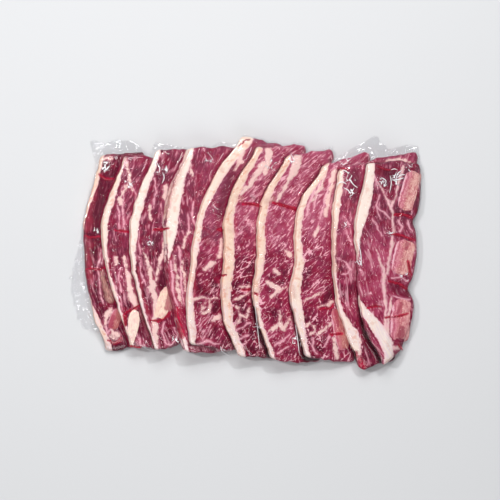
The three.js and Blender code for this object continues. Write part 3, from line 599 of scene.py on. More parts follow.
# Ribs: their slice, the middle of the oval, half its length and width, its turn in degrees and
# its widths from lower to upper end; the colour of the sawn bone, how red it is, how much fascia
# shows on its left side, and the dark marks of its marrow
plainRib = {"widths": [1, 1], "red": 1, "fascia": 0.7, "marrow": []}
ribs = [
    {
        "node": "bone_01", "slice": 0, "at": (-117.3, -60.3), "half": (11, 6.0), "turn": 20,
        "widths": [0.7, 1, 0.9, 0.75], "hue": (182, 114, 108), "fascia": 0.45,
        "marrow": [(1.8, 2.4, -119, -58, -121, -66)],
    },
    {
        "node": "bone_02", "slice": 1, "at": (-100.6, -67.5), "half": (18.5, 5.8), "turn": 6,
        "widths": [0.2, 0.6, 0.95, 1, 0.6], "hue": (242, 224, 206), "red": 0.4, "fascia": 0.0,
    },
    {
        "node": "bone_03", "slice": 2, "at": (-73, -45), "half": (17, 6.6), "turn": 16,
        "widths": [0.9, 1, 1, 0.9, 0.45], "hue": (242, 220, 196), "red": 0.5, "fascia": 0.0,
        "marrow": [(2.0, 2.4, -67.5, -36, -70, -50)],
    },
    {
        "node": "bone_08", "slice": 7, "at": (85.5, -69), "half": (21, 6.5), "turn": -12,
        "hue": (194, 132, 122), "red": 1.1, "fascia": 0.5,
        "marrow": [(1.6, 1.2, 81, -52, 84, -66)],
    },
    {
        "node": "bone_10_upper", "slice": 9, "at": (148.2, 55.8), "half": (20.5, 8.6), "turn": 16,
        "hue": (230, 184, 172),
    },
    {
        "node": "bone_10_middle", "slice": 9, "at": (142.4, -4), "half": (17, 10.4), "turn": 13,
        "hue": (230, 180, 169), "marrow": [(1.8, 1.4, 146, 8, 145, 3)],
    },
    {
        "node": "bone_10_lower", "slice": 9, "at": (140.2, -60.5), "half": (21, 10.2), "turn": 5,
        "hue": (226, 168, 164),
        "marrow": [(3.0, 3.2, 141.5, -69, 140.4, -75), (2.0, 1.2, 141, -46, 137, -55)],
    },
]
bone = {
    "around": 96,
    "rings": 26,
    "wallRows": 5,
    "squareness": 4.6,
    "middleProud": 0.35,  # the sawn face over the meat's
    "rimProud": -0.45,
    "grainStep": 11.0,
}


# Rings of a rib from its middle out: a squared oval with an uneven rim. Share of the way to the
# rim and to the left or right side, distances along and across, and the place in plan
def ribOval(index, rib):
    turns = np.arange(bone["around"]) * 2 * np.pi / bone["around"]
    angle, share = np.meshgrid(turns, np.linspace(0, 1, bone["rings"] + 1)[1:])
    power = 2 / bone["squareness"]
    share = np.concatenate([[0.0], share.ravel()])
    angle = np.concatenate([[0.0], angle.ravel()])
    ragged = 1 + roughen("ribRim", index, np.cos(angle) * 9, np.sin(angle) * 9)
    along = np.sign(np.sin(angle)) * np.abs(np.sin(angle)) ** power * share * ragged
    side = np.sign(np.cos(angle)) * np.abs(np.cos(angle)) ** power * share * ragged
    across = side * rib["half"][1] * curveThrough(rib["widths"], (along + 1) / 2)
    along = along * rib["half"][0]
    turn = math.radians(rib["turn"])
    x = rib["at"][0] + across * math.cos(turn) + along * math.sin(turn)
    y = rib["at"][1] - across * math.sin(turn) + along * math.cos(turn)
    return share, side, along, across, x, y


# A rib through its slice: its rim dips into the meat by a sixth power, and a wall joins its two
# faces
def makeBone(index, rib):
    around, ringCount = bone["around"], bone["rings"]
    share, side, along, across, x, y = ribOval(index, rib)
    u, v, _ = placeOn(rib["slice"], x, y)
    face = topHeight(rib["slice"], u, v) + faceRelief(rib["slice"], u, v, x, y)
    proud = bone["middleProud"] + (bone["rimProud"] - bone["middleProud"]) * share ** 6
    z = face + proud + roughen("ribFace", index, x, y)
    top = inFrame(x, y, z)
    low = inFrame(x, y, undersideHeight(rib["slice"], x, y, face) - 0.05)
    walls = [
        top[-around:] * (1 - s) + low[-around:] * s
        for s in np.linspace(0, 1, bone["wallRows"] + 2)[1:-1]
    ]

    count = len(x)
    ringAt = 1 + np.arange(ringCount * around).reshape(ringCount, around)
    wallAt = 2 * count + np.arange(len(walls) * around).reshape(len(walls), around)
    levels = np.concatenate([ringAt, wallAt, ringAt[::-1] + count])
    first, second = ringAt[0], np.roll(ringAt[0], -1)
    caps = np.concatenate([
        np.stack([first * 0, first, second], axis=-1),
        np.stack([first * 0, second, first], axis=-1) + count,
    ])
    places = np.concatenate([top, low] + walls)
    piece = makePiece(rib["node"] + "_rib", places, ringQuads(levels), caps)

    def spread(values):  # a face's numbers carried to the other face and down the wall
        return np.concatenate([values, values] + [values[-around:]] * len(walls))

    addNumbers(piece, "rim", spread(share))
    addNumbers(piece, "marrow", spread(markDepth(rib["marrow"], x, y)))
    addNumbers(piece, "side", spread(side))
    addNumbers(piece, "crease", spread(markDepth(slices[rib["slice"]]["crease"], x, y)))
    grain = np.stack([across, along, np.full_like(x, bone["grainStep"] * index)], axis=-1)
    addNumbers(piece, "grain", spread(grain))
    return piece, (x, y, z)


# The clear film: a front sheet that is drawn onto the meat and a flat back sheet
film = {
    "cell": 0.9,  # of the height map that the front sheet is read from
    "half": (172.0, 118.0),  # of that map
    "lift": 0.22,  # over the meat
    "pulls": 4,  # more pulls let the film bridge wider gaps
    "rays": 780,
    "raySteps": 500,
    "spineHalf": 95.0,  # the rays start on a line of twice this length
    "rayEnd": (245.0, 175.0),
    "innerRings": 92,
    "outerRings": 20,
    "backRings": 7,
    "margin": 2.6,  # of free film where there is no flap
    "edge": 0.4,  # height of the free edge
    "root": 5.0,  # a flap starts this far in
    "flapNear": 14.0,  # a ray that ends this close to a flap's line belongs to it
    "flapReach": 24.0,
    "pleat": 1.6,
    "crumple": 1.7,
    "wrinkle": 0.8,
    "back": 0.05,  # height of the back sheet
    "turnIn": 0.12,  # the back's first ring lies this share of its step inside the rim
    "ior": 1.5,
    "mostMirror": 0.055,
    "foldMirror": 0.04,
    "roughness": 0.05,
    "clear": (0.985, 0.985, 0.99, 1),
    # colour of whitened film and of painted glints
    "whiteFoldAndGlint": (250, 249, 252),
    "wrinkles": [  # X, Y and radius of the places where the front sheet is wrinkled
        (137, 66, 10), (122, 62, 8), (94, 67, 9), (95, 54, 8), (90, 25, 6), (130, 18, 6),
        (-75, 74, 10), (-104, 62, 9), (-27, 41, 8), (-32, 86, 8), (-127, 78, 8), (-85, 10, 6),
        (24, 78, 10), (44, 84, 9), (102, -8, 7), (47, -80, 9), (12, -66, 8), (-16, -90, 8),
        (-88, -84, 8), (-62, -78, 7), (90, 84, 10), (150, 76, 9), (-134, 20, 5), (144, -22, 8),
    ],
}

# Free skirts of film: the line of their root, how far they reach along it, and their pleats
flaps = [
    {
        "from": (-137, -76), "to": (-145, 27), "reach": [0, 12, 17.5, 16.5, 15, 9, 4, 0],
        "rise": 4, "pleats": 2,
    },
    {"from": (-137, 80), "to": (-112, 92), "reach": [0, 16, 12, 5], "rise": 6, "pleats": 1.5},
    {"from": (-124, 88), "to": (-86, 86), "reach": [8, 16, 14, 11, 4], "rise": 7, "pleats": 2.5},
    {"from": (-86, 88), "to": (-54, 93), "reach": [7, 8, 7, 3, 1], "rise": 7, "pleats": 2},
    {"from": (-40, 94), "to": (-4, 105), "reach": [1, 2.5, 4, 4, 0.5], "rise": 8, "pleats": 1},
    {
        "from": (68, 91), "to": (158, 84), "reach": [0, 5, 10, 15, 19, 11, 13, 11, 3],
        "rise": 9, "pleats": 4,
    },
]


# Highest meat in each cell, grown by a cell all round, then pulled smooth but never below it
def filmHeights(faces):
    halfX, halfY = film["half"]
    columns = int(2 * halfX / film["cell"]) + 1
    rows = int(2 * halfY / film["cell"]) + 1
    heights = np.zeros((rows, columns))
    for x, y, z in faces:
        i = np.rint((x + halfX) / film["cell"]).astype(int).ravel()
        j = np.rint((y + halfY) / film["cell"]).astype(int).ravel()
        np.maximum.at(heights, (j, i), z.ravel())
    near = (-1, 0, 1)
    grown = np.max([np.roll(heights, (dj, di), (0, 1)) for dj in near for di in near], axis=0)
    least = grown + film["lift"] * (grown > 0)
    pulled = least
    for _ in range(film["pulls"]):
        around = sum(np.roll(pulled, s, a) for a in (0, 1) for s in (-1, 1)) / 4
        pulled = np.maximum(least, around)
    return heights > 0, pulled


# Value of a map at plan points, blended between its four cells
def readMap(values, x, y):
    px = np.clip((x + film["half"][0]) / film["cell"], 0, values.shape[1] - 1.001)
    py = np.clip((y + film["half"][1]) / film["cell"], 0, values.shape[0] - 1.001)
    i = px.astype(int)
    j = py.astype(int)
    return betweenCells(values, i, j, i + 1, j + 1, px - i, py - j)


# Share along a flap's run, and distance out from it
def flapPlace(flap, x, y):
    run = np.array(flap["to"], float) - flap["from"]
    length = np.hypot(*run)
    out = np.array([-run[1], run[0]]) / length
    dx, dy = x - flap["from"][0], y - flap["from"][1]
    return (dx * run[0] + dy * run[1]) / length ** 2, dx * out[0] + dy * out[1]


# Rays from a line along the pack's middle: where they start, which way they go, and how far
# along them the last meat lies
def filmRays(meat, angle):
    startX = film["spineHalf"] * np.cos(angle)
    runX = film["rayEnd"][0] * np.cos(angle) - startX
    runY = film["rayEnd"][1] * np.sin(angle)
    steps = np.linspace(0, 1, film["raySteps"])[:, None]
    x, y = startX + runX * steps, runY * steps
    inMap = (np.abs(x) < film["half"][0] - 2) & (np.abs(y) < film["half"][1] - 2)
    onMeat = (readMap(meat.astype(float), x, y) > 0.5) & inMap
    last = len(steps) - 1 - np.argmax(onMeat[::-1], axis=0)
    length = np.hypot(runX, runY)
    border = steps[last, 0] * length
    border = (border + np.roll(border, 1) + np.roll(border, -1)) / 3
    return startX, runX / length, runY / length, border


# How far the free film goes beyond the meat on each ray: a flap's own reach or the margin,
# with slow and quick hills on it
def freeReach(angle, x, y):
    reach = np.full_like(angle, film["margin"])
    for flap in flaps:
        u, out = flapPlace(flap, x, y)
        near = (u > 0) & (u < 1) & (np.abs(out) < film["flapNear"])
        reach = np.where(near, np.maximum(reach, curveThrough(flap["reach"], u)), reach)
    smooth = (np.roll(reach, 1) + 2 * reach + np.roll(reach, -1)) / 4
    slow = 1 + 0.10 * hills(angle * 40, angle * 0, 1.0, 5)
    return smooth * slow + 0.3 * hills(angle * 90, angle * 0, 1.0, 6)


# A flap's height: it rises by a square to its root, with sine pleats and crumpled ridges on it;
# and 1 over its own run, eased to 0 past both ends
def flapHeight(flap, x, y):
    u, out = flapPlace(flap, x, y)
    own = curveThrough(flap["reach"], u)
    v = np.clip((own - out) / (own + film["root"]), 0, 1)
    within = easeBetween(u, -0.01, 0.03) * (1 - easeBetween(u, 0.97, 1.01))
    pleats = film["pleat"] * np.sin(np.pi * v) * (1 + np.sin(2 * np.pi * flap["pleats"] * u + 1))
    ridge = sharpRidges(x + 0.5 * y, y - 0.4 * x, 7.0, 90, 1.6) + 0.5 * sharpRidges(x, y, 3.4, 91, 1.6)
    crumple = film["crumple"] * ridge * (0.35 + 0.65 * np.sin(np.pi * np.clip(v, 0.1, 1)))
    height = film["edge"] + flap["rise"] * v * v + pleats + crumple
    return height, within * (np.abs(out) < film["flapReach"])


# Front sheet at plan points that lie some way beyond the meat's border: the pulled map, which
# falls to the free edge by a power of 1.5, then flaps, wrinkles and fine ridges
def frontSheet(pulled, x, y, beyond, reach):
    past = easeBetween(beyond, 0.0, 1.0)
    free = np.clip(beyond / reach, 0, 1)
    fall = (1 - free) ** 1.5
    z = np.maximum(readMap(pulled, x, y), film["edge"])
    z = z * (1 - past) + past * np.maximum(film["edge"], z * fall + film["edge"] * (1 - fall))
    folds = np.zeros_like(z)
    for flap in flaps:
        height, within = flapHeight(flap, x, y)
        z = np.where(past > 0, np.maximum(z, height * within * past), z)
        folds = np.maximum(folds, within * past)
    wrinkled = np.zeros_like(z)
    for px, py, radius in film["wrinkles"]:
        wrinkled = np.maximum(wrinkled, easeBetween(np.hypot(x - px, y - py), radius, radius * 0.3))
    ridge = np.maximum(sharpRidges(x + 0.7 * y, 0.6 * y - 0.5 * x, 5.0, 93, 3), 0)
    z = z + film["wrinkle"] * wrinkled * ridge * (1 - past)
    fine = 0.10 * sharpRidges(x, y, 5.5, 95, 2) + 0.05 * sharpRidges(x + y, y - x, 3.0, 96, 2)
    return z + fine * (1 - free), folds, wrinkled


# Front: rays from the pack's spine to its outline; back: the same outline shrunk to the spine
def makeFilm(meat, pulled):
    rayCount = film["rays"]
    angle = np.arange(rayCount) * 2 * np.pi / rayCount
    startX, dirX, dirY, border = filmRays(meat, angle)
    reach = freeReach(angle, startX + dirX * border, dirY * border)
    inner = np.linspace(0, 1, film["innerRings"], endpoint=False)[:, None] * border
    outer = border + np.linspace(0, 1, film["outerRings"] + 1)[:, None] * reach
    way = np.concatenate([inner, outer])
    x, y = startX + dirX * way, dirY * way
    z, folds, wrinkled = frontSheet(pulled, x, y, way - border, reach)

    front = inFrame(x, y, z)
    rim = front[-1]
    spine = inFrame(startX, startX * 0, startX * 0)
    backRings = []
    for share in np.linspace(1, 0, film["backRings"] + 1)[1:]:
        ring = rim * share + spine * (1 - share)
        ring[:, 2] = film["back"]
        backRings.append(ring)
    backRings[0] = rim + (backRings[0] - rim) * film["turnIn"]
    places = np.concatenate([front.reshape(-1, 3)] + backRings)

    # Both ends of the ring stack lie on the spine, where a ray and its mirror share one vertex
    levels = len(way) + film["backRings"]
    at = np.arange(levels * rayCount).reshape(levels, rayCount)
    keep = np.minimum(np.arange(rayCount), -np.arange(rayCount) % rayCount)
    at[0] = at[0][keep]
    at[-1] = at[-1][keep]
    used, corners = np.unique(ringQuads(at), return_inverse=True)
    piece = makePiece("clear_film", places[used], corners.reshape(-1, 4))
    back = np.zeros(film["backRings"] * rayCount)
    addNumbers(piece, "folds", np.concatenate([folds.ravel(), back])[used])
    addNumbers(piece, "wrinkle", np.concatenate([wrinkled.ravel(), back])[used])
    return piece


# Closed lens-shaped ridges along short ways, whose width and height are a cosine and a sine
# round them: used for folded film and for lines of juice
def makeRidges(name, ways, pulled, lift, scale=1.0, sides=8, steps=24):
    t = np.linspace(0, 1, steps)
    turn = np.arange(sides) * 2 * np.pi / sides
    taper = np.sin(np.pi * np.clip(t, 0.02, 0.98)) ** 0.6
    places, quads, caps = [], [], []
    for index, (half, tall, *way) in enumerate(ways):
        points = np.reshape(way, (-1, 2))
        x, y = curveThrough(points[:, 0], t), curveThrough(points[:, 1], t)
        dx, dy = np.gradient(x), np.gradient(y)
        length = np.hypot(dx, dy)
        side = np.cos(turn) * (half * scale * taper / length)[:, None]
        rise = np.sin(turn) * (tall * scale * taper)[:, None]
        rise = np.where(rise < 0, rise * 0.4, rise)
        px, py = x[:, None] - dy[:, None] * side, y[:, None] + dx[:, None] * side
        tube = inFrame(px, py, readMap(pulled, px, py) + lift + rise).reshape(-1, 3)
        ends = inFrame(x, y, readMap(pulled, x, y) + lift)[[0, -1]]
        places += [tube, ends]

        start = index * (steps * sides + 2)
        at = start + np.arange(steps * sides).reshape(steps, sides)
        quads.append(ringQuads(at, flip=True))
        first = np.full(sides, start + steps * sides)
        caps.append(np.stack([first, np.roll(at[0], -1), at[0]], axis=-1))
        caps.append(np.stack([first + 1, at[-1], np.roll(at[-1], -1)], axis=-1))
    return makePiece(name, np.concatenate(places), np.concatenate(quads), np.concatenate(caps))


# Linear colour of a screen colour given in steps of 255
def paint(red, green, blue):
    return tuple(((c / 255 + 0.055) / 1.055) ** 2.4 for c in (red, green, blue)) + (1.0,)


# A socket whose operators add Math nodes
class Wire:
    def __init__(self, finish, socket):
        self.finish = finish
        self.socket = socket

    def __add__(self, other):
        return self.finish.maths("ADD", self, other)

    def __sub__(self, other):
        return self.finish.maths("SUBTRACT", self, other)

    def __rsub__(self, other):
        return self.finish.maths("SUBTRACT", other, self)

    def __mul__(self, other):
        return self.finish.maths("MULTIPLY", self, other)

    def __truediv__(self, other):
        return self.finish.maths("DIVIDE", self, other)

    def __rtruediv__(self, other):
        return self.finish.maths("DIVIDE", other, self)

    def __abs__(self):
        return self.finish.maths("ABSOLUTE", self)

    __radd__ = __add__
    __rmul__ = __mul__

    def most(self, other):  # the larger of two
        return self.finish.maths("MAXIMUM", self, other)

    def eased(self, low, high):  # 0 at low, 1 at high, with a smooth step between
        inputs = {"Value": self, "From Min": low, "From Max": high}
        return self.finish.node("MapRange", {"interpolation_type": "SMOOTHSTEP"}, inputs)


# A material under construction
class Finish:
    def __init__(self, name):
        self.material = bpy.data.materials.new(name)
        self.material.use_nodes = True
        self.tree = self.material.node_tree
        self.tree.nodes.clear()

    # One node: its settings are set first, then each socket gets its value or link
    def node(self, kind, settings=None, inputs=None, output=0):
        made = self.tree.nodes.new("ShaderNode" + kind)
        for key, value in (settings or {}).items():
            setattr(made, key, value)
        for key, value in (inputs or {}).items():
            if isinstance(value, Wire):
                self.tree.links.new(value.socket, made.inputs[key])
            else:
                made.inputs[key].default_value = value
        return Wire(self, made.outputs[output]) if made.outputs else None

    def maths(self, operation, *values):  # a Math node
        return self.node("Math", {"operation": operation}, dict(enumerate(values)))

    def number(self, name):  # a mesh attribute of one number
        return self.node("Attribute", {"attribute_name": name}, output="Fac")

    def vector(self, name):  # a mesh attribute of three numbers
        return self.node("Attribute", {"attribute_name": name}, output="Vector")

    def noise(self, place, scale, detail=2.0, roughness=0.5, output=0):  # 0.5 on average
        inputs = {"Vector": place, "Scale": scale, "Detail": detail, "Roughness": roughness}
        return self.node("TexNoise", {"noise_dimensions": "3D"}, inputs, output)

    def shift(self, place, amount, scale):  # place moved by a noise of three numbers
        wobble = self.noise(place, scale, 1.0, output=1)
        centred = self.node("VectorMath", {"operation": "SUBTRACT"}, {0: wobble, 1: (0.5, 0.5, 0.5)})
        moved = self.node("VectorMath", {"operation": "SCALE"}, {0: centred, "Scale": amount})
        return self.node("VectorMath", {"operation": "ADD"}, {0: place, 1: moved})

    def laid(self, place, turn, size):  # place turned by degrees, then measured in cells
        inputs = {"Vector": place, "Rotation": (0, 0, math.radians(turn)), "Scale": (size[0], size[1], 1)}
        return self.node("Mapping", {"vector_type": "TEXTURE"}, inputs)

    # Thin lines where a noise is near its middle: 1 less twice its distance from there
    def creaseLines(self, place, scale, low, high):
        noise = self.noise(place, scale, 1.0)
        return (1 - abs(noise * 2 - 1)).eased(low, high)

    # Coats of colour over a base, the lowest first, each with the share that it covers
    def coats(self, base, layers):
        shown = base if isinstance(base, Wire) else paint(*base)
        for share, colour in layers:
            over = colour if isinstance(colour, Wire) else paint(*colour)
            shown = self.node("Mix", {"data_type": "RGBA"}, {0: share, 6: shown, 7: over}, output=2)
        return shown

    def bump(self, height, distance, strength):  # a normal tilted by a height
        return self.node("Bump", None, {"Height": height, "Distance": distance, "Strength": strength})

    # Moist flesh or bone: a soft glow below the surface, and little gloss under the film
    def flesh(self, shown, roughness, relief, skin):
        return self.surface(self.node("BsdfPrincipled", None, {
            "Base Color": shown,
            "Roughness": roughness,
            "Specular IOR Level": skin["specular"],
            "Subsurface Weight": skin["glow"],
            "Subsurface Radius": skin["glowRadius"],
            "Subsurface Scale": skin["glowDepth"],
            "Normal": self.bump(relief, skin["relief"], 0.5),
        }))

    def surface(self, shader):  # the finished material
        self.node("OutputMaterial", None, {"Surface": shader})
        return self.material


beef = {
    "deep": (84, 10, 36),
    "red": (142, 36, 70),
    "light": (178, 80, 109),
    # mauve: partly the lean's own tint, partly a painted sheen of the film over the upper lean
    "mauve": (140, 68, 92),
    "marble": (236, 180, 192),
    "seam": (236, 206, 196),
    "cap": (240, 223, 212),
    "capWarm": (232, 200, 180),
    "capCool": (228, 208, 214),
    "capStain": (214, 140, 114),
    "crimson": (140, 6, 44),
    "rosy": (166, 50, 72),
    "juice": (186, 16, 62),
    "tan": (206, 160, 146),
    # painted shade deep in the gap beside the next slice
    "gapShade": (34, 2, 10),
    "specular": 0.02,
    "glow": 0.06,
    "glowRadius": (1.0, 0.35, 0.3),
    "glowDepth": 0.0008,
    "relief": 0.0006,
}

# What a slice's look says, and what it is where the slice has nothing of its own
plainLook = {
    "angle": 0,  # degrees that the marbling turns from the slice's length
    "cell": (2.4, 11),  # width and length of one noise cell of it
    "lines": 0.4,  # amounts of lines, webs and flecks
    "webs": 0.2,
    "flecks": 0.2,
    "soft": 0.13,  # blur of the lines
    "weight": 0.5,  # how white they are
    "tone": 0.0,  # lighter or darker lean
    "shade": 0.0,  # share of the deepest red over it
    # the mauve of the upper part is partly a painted sheen of the film
    "mauve": 0.35,  # tint of the upper part
    "webFrom": 0.5,  # share of the length where the lower part starts
    "low": 0.0,  # change of tone in it
    "fewer": 0.0,  # fewer lines in it
    "longs": 0.0,  # long lines above it too
    "rosy": 0.6,  # strength of the rosy marks
    "cap": 0.25,  # warmth of the fat strip
    "seamEdge": 0.8,  # raggedness of seams and veins
    "seamPink": 0.25,
}
plateLook = {  # the three richly marbled slices
    "angle": 42, "cell": (2.1, 5.5), "lines": 0.85, "webs": 0.9, "flecks": 0.35,
    "soft": 0.04, "weight": 0.8, "seamEdge": 0.75,
}
looks = [
    {
        "angle": -4, "cell": (2.4, 12), "lines": 0.05, "webs": 0.1, "flecks": 0.0, "soft": 0.09,
        "weight": 0.3, "tone": -1.2, "shade": 0.97, "mauve": 0.0, "rosy": 0.38, "cap": 0.55,
        "seamEdge": 1.0,
    },
    {"angle": 6, "weight": 0.55, "tone": -0.5, "webFrom": 0.55, "cap": 0.2},
    {"angle": 4, "tone": -0.55, "mauve": 0.3, "cap": -0.15},
    {
        "angle": -14, "cell": (2.3, 8), "lines": 0.46, "webs": 0.3, "flecks": 0.3, "soft": 0.12,
        "tone": -0.3, "mauve": 0.45, "webFrom": 0.6, "cap": -0.1,
    },
    {
        "angle": 34, "cell": (2.0, 8), "lines": 0.3, "webs": 0.6, "flecks": 0.25, "soft": 0.07,
        "weight": 0.7, "tone": -0.05, "mauve": 0.85, "webFrom": 0.55, "low": -0.08, "fewer": 0.02,
        "seamEdge": 0.65,
    },
    plateLook | {
        "flecks": 0.3, "tone": 0.55, "low": -0.5, "fewer": 0.135, "longs": 0.5, "cap": 0.5,
        "seamEdge": 0.7,
    },
    plateLook | {
        "tone": 0.75, "mauve": 0.3, "webFrom": 0.42, "low": -0.34, "fewer": 0.11, "longs": 0.2,
        "cap": 0.45,
    },
    plateLook | {
        "angle": 46, "lines": 0.95, "webs": 0.8, "tone": 0.85, "mauve": 0.4, "webFrom": 0.4,
        "low": -0.44, "fewer": 0.15, "longs": 0.3, "cap": 0.3,
    },
    {
        "angle": 10, "cell": (2.6, 12), "lines": 0.6, "flecks": 0.4, "soft": 0.1,
        "tone": -0.12, "mauve": 0.5, "webFrom": 0.4, "cap": 0.22, "seamEdge": 1.0,
    },
    {
        "angle": -8, "cell": (2.5, 9), "lines": 0.15, "webs": 0.4, "flecks": 0.25, "soft": 0.1,
        "tone": -0.75, "webFrom": 0.36, "low": 0.52, "fewer": -0.02, "cap": -0.1, "seamEdge": 0.4,
        "seamPink": 0.9,
    },
]


# The noises that several parts of the meat share, which they call n, and the share of its lower
# part, eased along the slice
def beefNoises(finish, look):
    grain = finish.vector("grain")
    along = finish.number("along")
    return SimpleNamespace(
        grain=grain,
        along=along,
        cloud=finish.noise(grain, 0.075),
        patch=finish.noise(grain, 0.12, 1.0) - 0.5,
        fibre=finish.noise(finish.laid(grain, look["angle"] * 0.5, (0.55, 4.0)), 1.0, 3.0, 0.6),
        ragged=finish.noise(grain, 0.9, 2.0, 0.6) - 0.5,
        broad=finish.noise(grain, 0.2, 1.0) - 0.5,
        soft=finish.noise(grain, 0.5),
        lower=along.eased(look["webFrom"] - 0.12, look["webFrom"] + 0.12),
    )


# Lean meat: three reds by a sum of noises, mauve above that is partly a painted sheen of the film,
# with a crimson tinge in patches
def leanTint(finish, look, n):
    wide = finish.noise(n.grain, 0.028, 1.0)
    tone = n.cloud * 1.1 + wide * 0.7 + n.fibre * 1.1 - 0.98 + look["tone"] * 0.5 + n.lower * look["low"]
    upper = 1 - (n.along + n.cloud * 0.3).eased(0.45, 0.8)
    tinge = finish.noise(n.grain, 0.14)
    return finish.coats(beef["deep"], [
        (tone.eased(0.15, 0.6), beef["red"]),
        (tone.eased(0.45, 1.0), beef["light"]),
        # mauve over the upper part: partly the lean's own tint, partly a painted sheen of the film
        (upper * look["mauve"], beef["mauve"]),
        (look["shade"], beef["deep"]),
        (tinge.eased(0.46, 0.66) * 0.45, beef["crimson"]),
    ])


# Marbling: lines and flecks where a stretched noise is over a level, and webs along the borders
# of cells; with it the pink veil round the lines
def marbling(finish, look, n):
    across, along = look["cell"]
    blur = look["soft"]

    def laid(wide, long, turn=0):  # the grain in cells of the slice's own lie
        return finish.laid(n.grain, look["angle"] + turn, (across * wide, along * long))

    level = n.lower * look["fewer"] + 0.675 - 0.085 * look["lines"]
    streaks = finish.noise(finish.shift(laid(1, 1), 0.6, 0.8), 1.0, 2.0, 0.45) + n.patch * 0.3
    lines = streaks.eased(level - blur * 0.5, level + blur)
    longLevel = level - 0.035
    longs = finish.noise(finish.shift(laid(1.3, 2.2, -8), 0.7, 0.9), 1.0) + n.patch * 0.2
    longs = longs.eased(longLevel - blur * 0.5, longLevel + blur)
    longs = longs * (look["longs"] + (1 - look["longs"]) * n.lower)

    webLie = finish.shift(laid(1.9, 2.3), 0.9, 1.2)
    cells = finish.node("TexVoronoi", {"feature": "DISTANCE_TO_EDGE"}, {"Vector": webLie, "Scale": 0.9})
    broken = finish.noise(n.grain, 0.33, 2.0, 0.6) + (n.cloud - 0.5) * 0.8
    thick = broken.eased(0.62 - 0.22 * look["webs"], 0.85 - 0.18 * look["webs"])
    webs = 1 - (cells / (thick * n.lower * 0.075 + 0.004)).eased(0.6, 1.15)

    specks = finish.noise(laid(0.6, 0.5), 1.0, 1.0) + n.patch * 0.3
    speckLevel = 0.70 - 0.08 * look["flecks"]
    flecks = specks.eased(speckLevel, speckLevel + 0.04)
    marble = (lines.most(longs) * look["weight"]).most(webs * 0.9).most(flecks * look["weight"])
    return marble, streaks.eased(level - 0.16, level)


# Fat strip: warm and cool whites in streaks along it, stained at its outer edge, pink at its
# inner one
def capTint(finish, look, n, depth):
    streak = finish.noise(finish.laid(n.grain, 0, (0.7, 14.0)), 1.0, 3.0, 0.6)
    warm = (n.soft * 0.5 + streak * 0.9 + look["cap"] - 0.6).eased(0.05, 0.75)
    lilac = (n.cloud + n.along * 0.9).eased(0.95, 1.25) * streak.eased(0.42, 0.58)
    stain = (n.broad + n.soft * 0.5).eased(0.28, 0.5)
    fromEdge = finish.number("outer") + n.ragged * 1.6 + n.broad * 2.5
    return finish.coats(beef["cap"], [
        (warm, beef["capWarm"]),
        (lilac * 0.8, beef["capCool"]),
        (stain * (0.35 + 0.5 * look["cap"]), beef["capStain"]),
        ((1 - fromEdge.eased(0.0, 1.6)) * 0.55, beef["capStain"]),
        ((1 - depth.eased(0.2, 2.0)) * 0.5, beef["marble"]),
    ])


# Meat: lean, marbling, stains and dark marks that are partly painted shade, veins and seams, the
# fat strip, then juice and the painted shade of the gap beside the next slice. A mark's border is
# its depth plus noise, eased from 0 to 1
def beefFinish(k):
    look = plainLook | looks[k]
    finish = Finish(f"raw_beef_{k + 1:02d}")
    n = beefNoises(finish, look)
    marble, halo = marbling(finish, look, n)
    edge = look["seamEdge"]

    def stain(name, rag, low, high):  # a mark's depth plus raggedness, eased
        return (finish.number(name) + n.ragged * rag).eased(low, high)

    vein, seam = finish.number("vein"), finish.number("seam")
    near = vein.most(seam) + (n.ragged * 2.5 + n.broad * 3) * edge
    vein = (vein + (n.ragged * 2.2 + n.broad * 2) * edge).eased(-0.8, 0.7)
    seam = (seam + (n.ragged * 4 + n.broad * 6 + (n.fibre - 0.5) * 5) * edge).eased(-0.8, 0.9)
    seamTint = finish.coats(beef["seam"], [(n.soft.eased(0.25, 0.7) * look["seamPink"], beef["marble"])])
    depth = finish.number("fat") + n.ragged * 2.0 + n.broad * 3.5
    inCap = depth.eased(-0.35, 0.35)
    tan = 0.25 + 0.6 * n.fibre.eased(0.40, 0.60)
    wet = finish.coats(beef["juice"], [(n.soft.eased(0.35, 0.62), beef["crimson"])])
    # depth in the gap beside the next slice, where shade is painted
    gapShade = finish.number("gapShade") + n.ragged * 3
    shown = finish.coats(leanTint(finish, look, n), [
        (halo * 0.45, beef["light"]),
        (marble, beef["marble"]),
        (stain("rosy", 3, -1.6, 1.6) * look["rosy"], beef["rosy"]),
        # dark marks: darker lean, and painted shade where they lie beside the next slice
        (stain("darkLeanAndShade", 4, -3.0, 2.0) * 0.6, beef["deep"]),
        (near.eased(-2.6, 0.3) * 0.5, beef["light"]),
        (vein * (0.55 + 0.5 * n.soft), beef["marble"]),
        (seam * (0.7 + 0.4 * n.soft), seamTint),
        (inCap, capTint(finish, look, n, depth)),
        (stain("tan", 4, -2.6, 1.8) * tan, beef["tan"]),
        (stain("crease", 2.5, -0.8, 0.5) * 0.9, wet),
        # painted shade in that gap: crimson at its soft edge, then deep red, then near black
        (gapShade.eased(-2.8, 0.4) * 0.45, beef["crimson"]),
        (gapShade.eased(-0.9, 0.9) * 0.85, beef["deep"]),
        (gapShade.eased(0.9, 2.4) * 0.9, beef["gapShade"]),
    ])
    relief = marble * 0.35 + n.fibre * 0.5 + n.ragged * inCap
    return finish.flesh(shown, 0.42 + n.soft * 0.16, relief, beef)


sawn = {
    "streak": (166, 60, 78),
    "left": (216, 132, 156),
    "spongy": (178, 70, 88),
    "line": (168, 46, 84),
    "skin": (236, 190, 204),
    "marrow": (156, 54, 78),
    "rim": (236, 186, 192),
    "rimRed": (140, 12, 48),
    "ruddy": (0.14, 0.42, 0.30),  # shares of the bone's own colour that its red parts lose
    "pale": (1.0, 0.9, 0.88),  # of white, mixed half and half with the bone's own colour
    "specular": 0.05,
    "glow": 0.08,
    "glowRadius": (1.0, 0.5, 0.4),
    "glowDepth": 0.001,
    "relief": 0.0005,
}


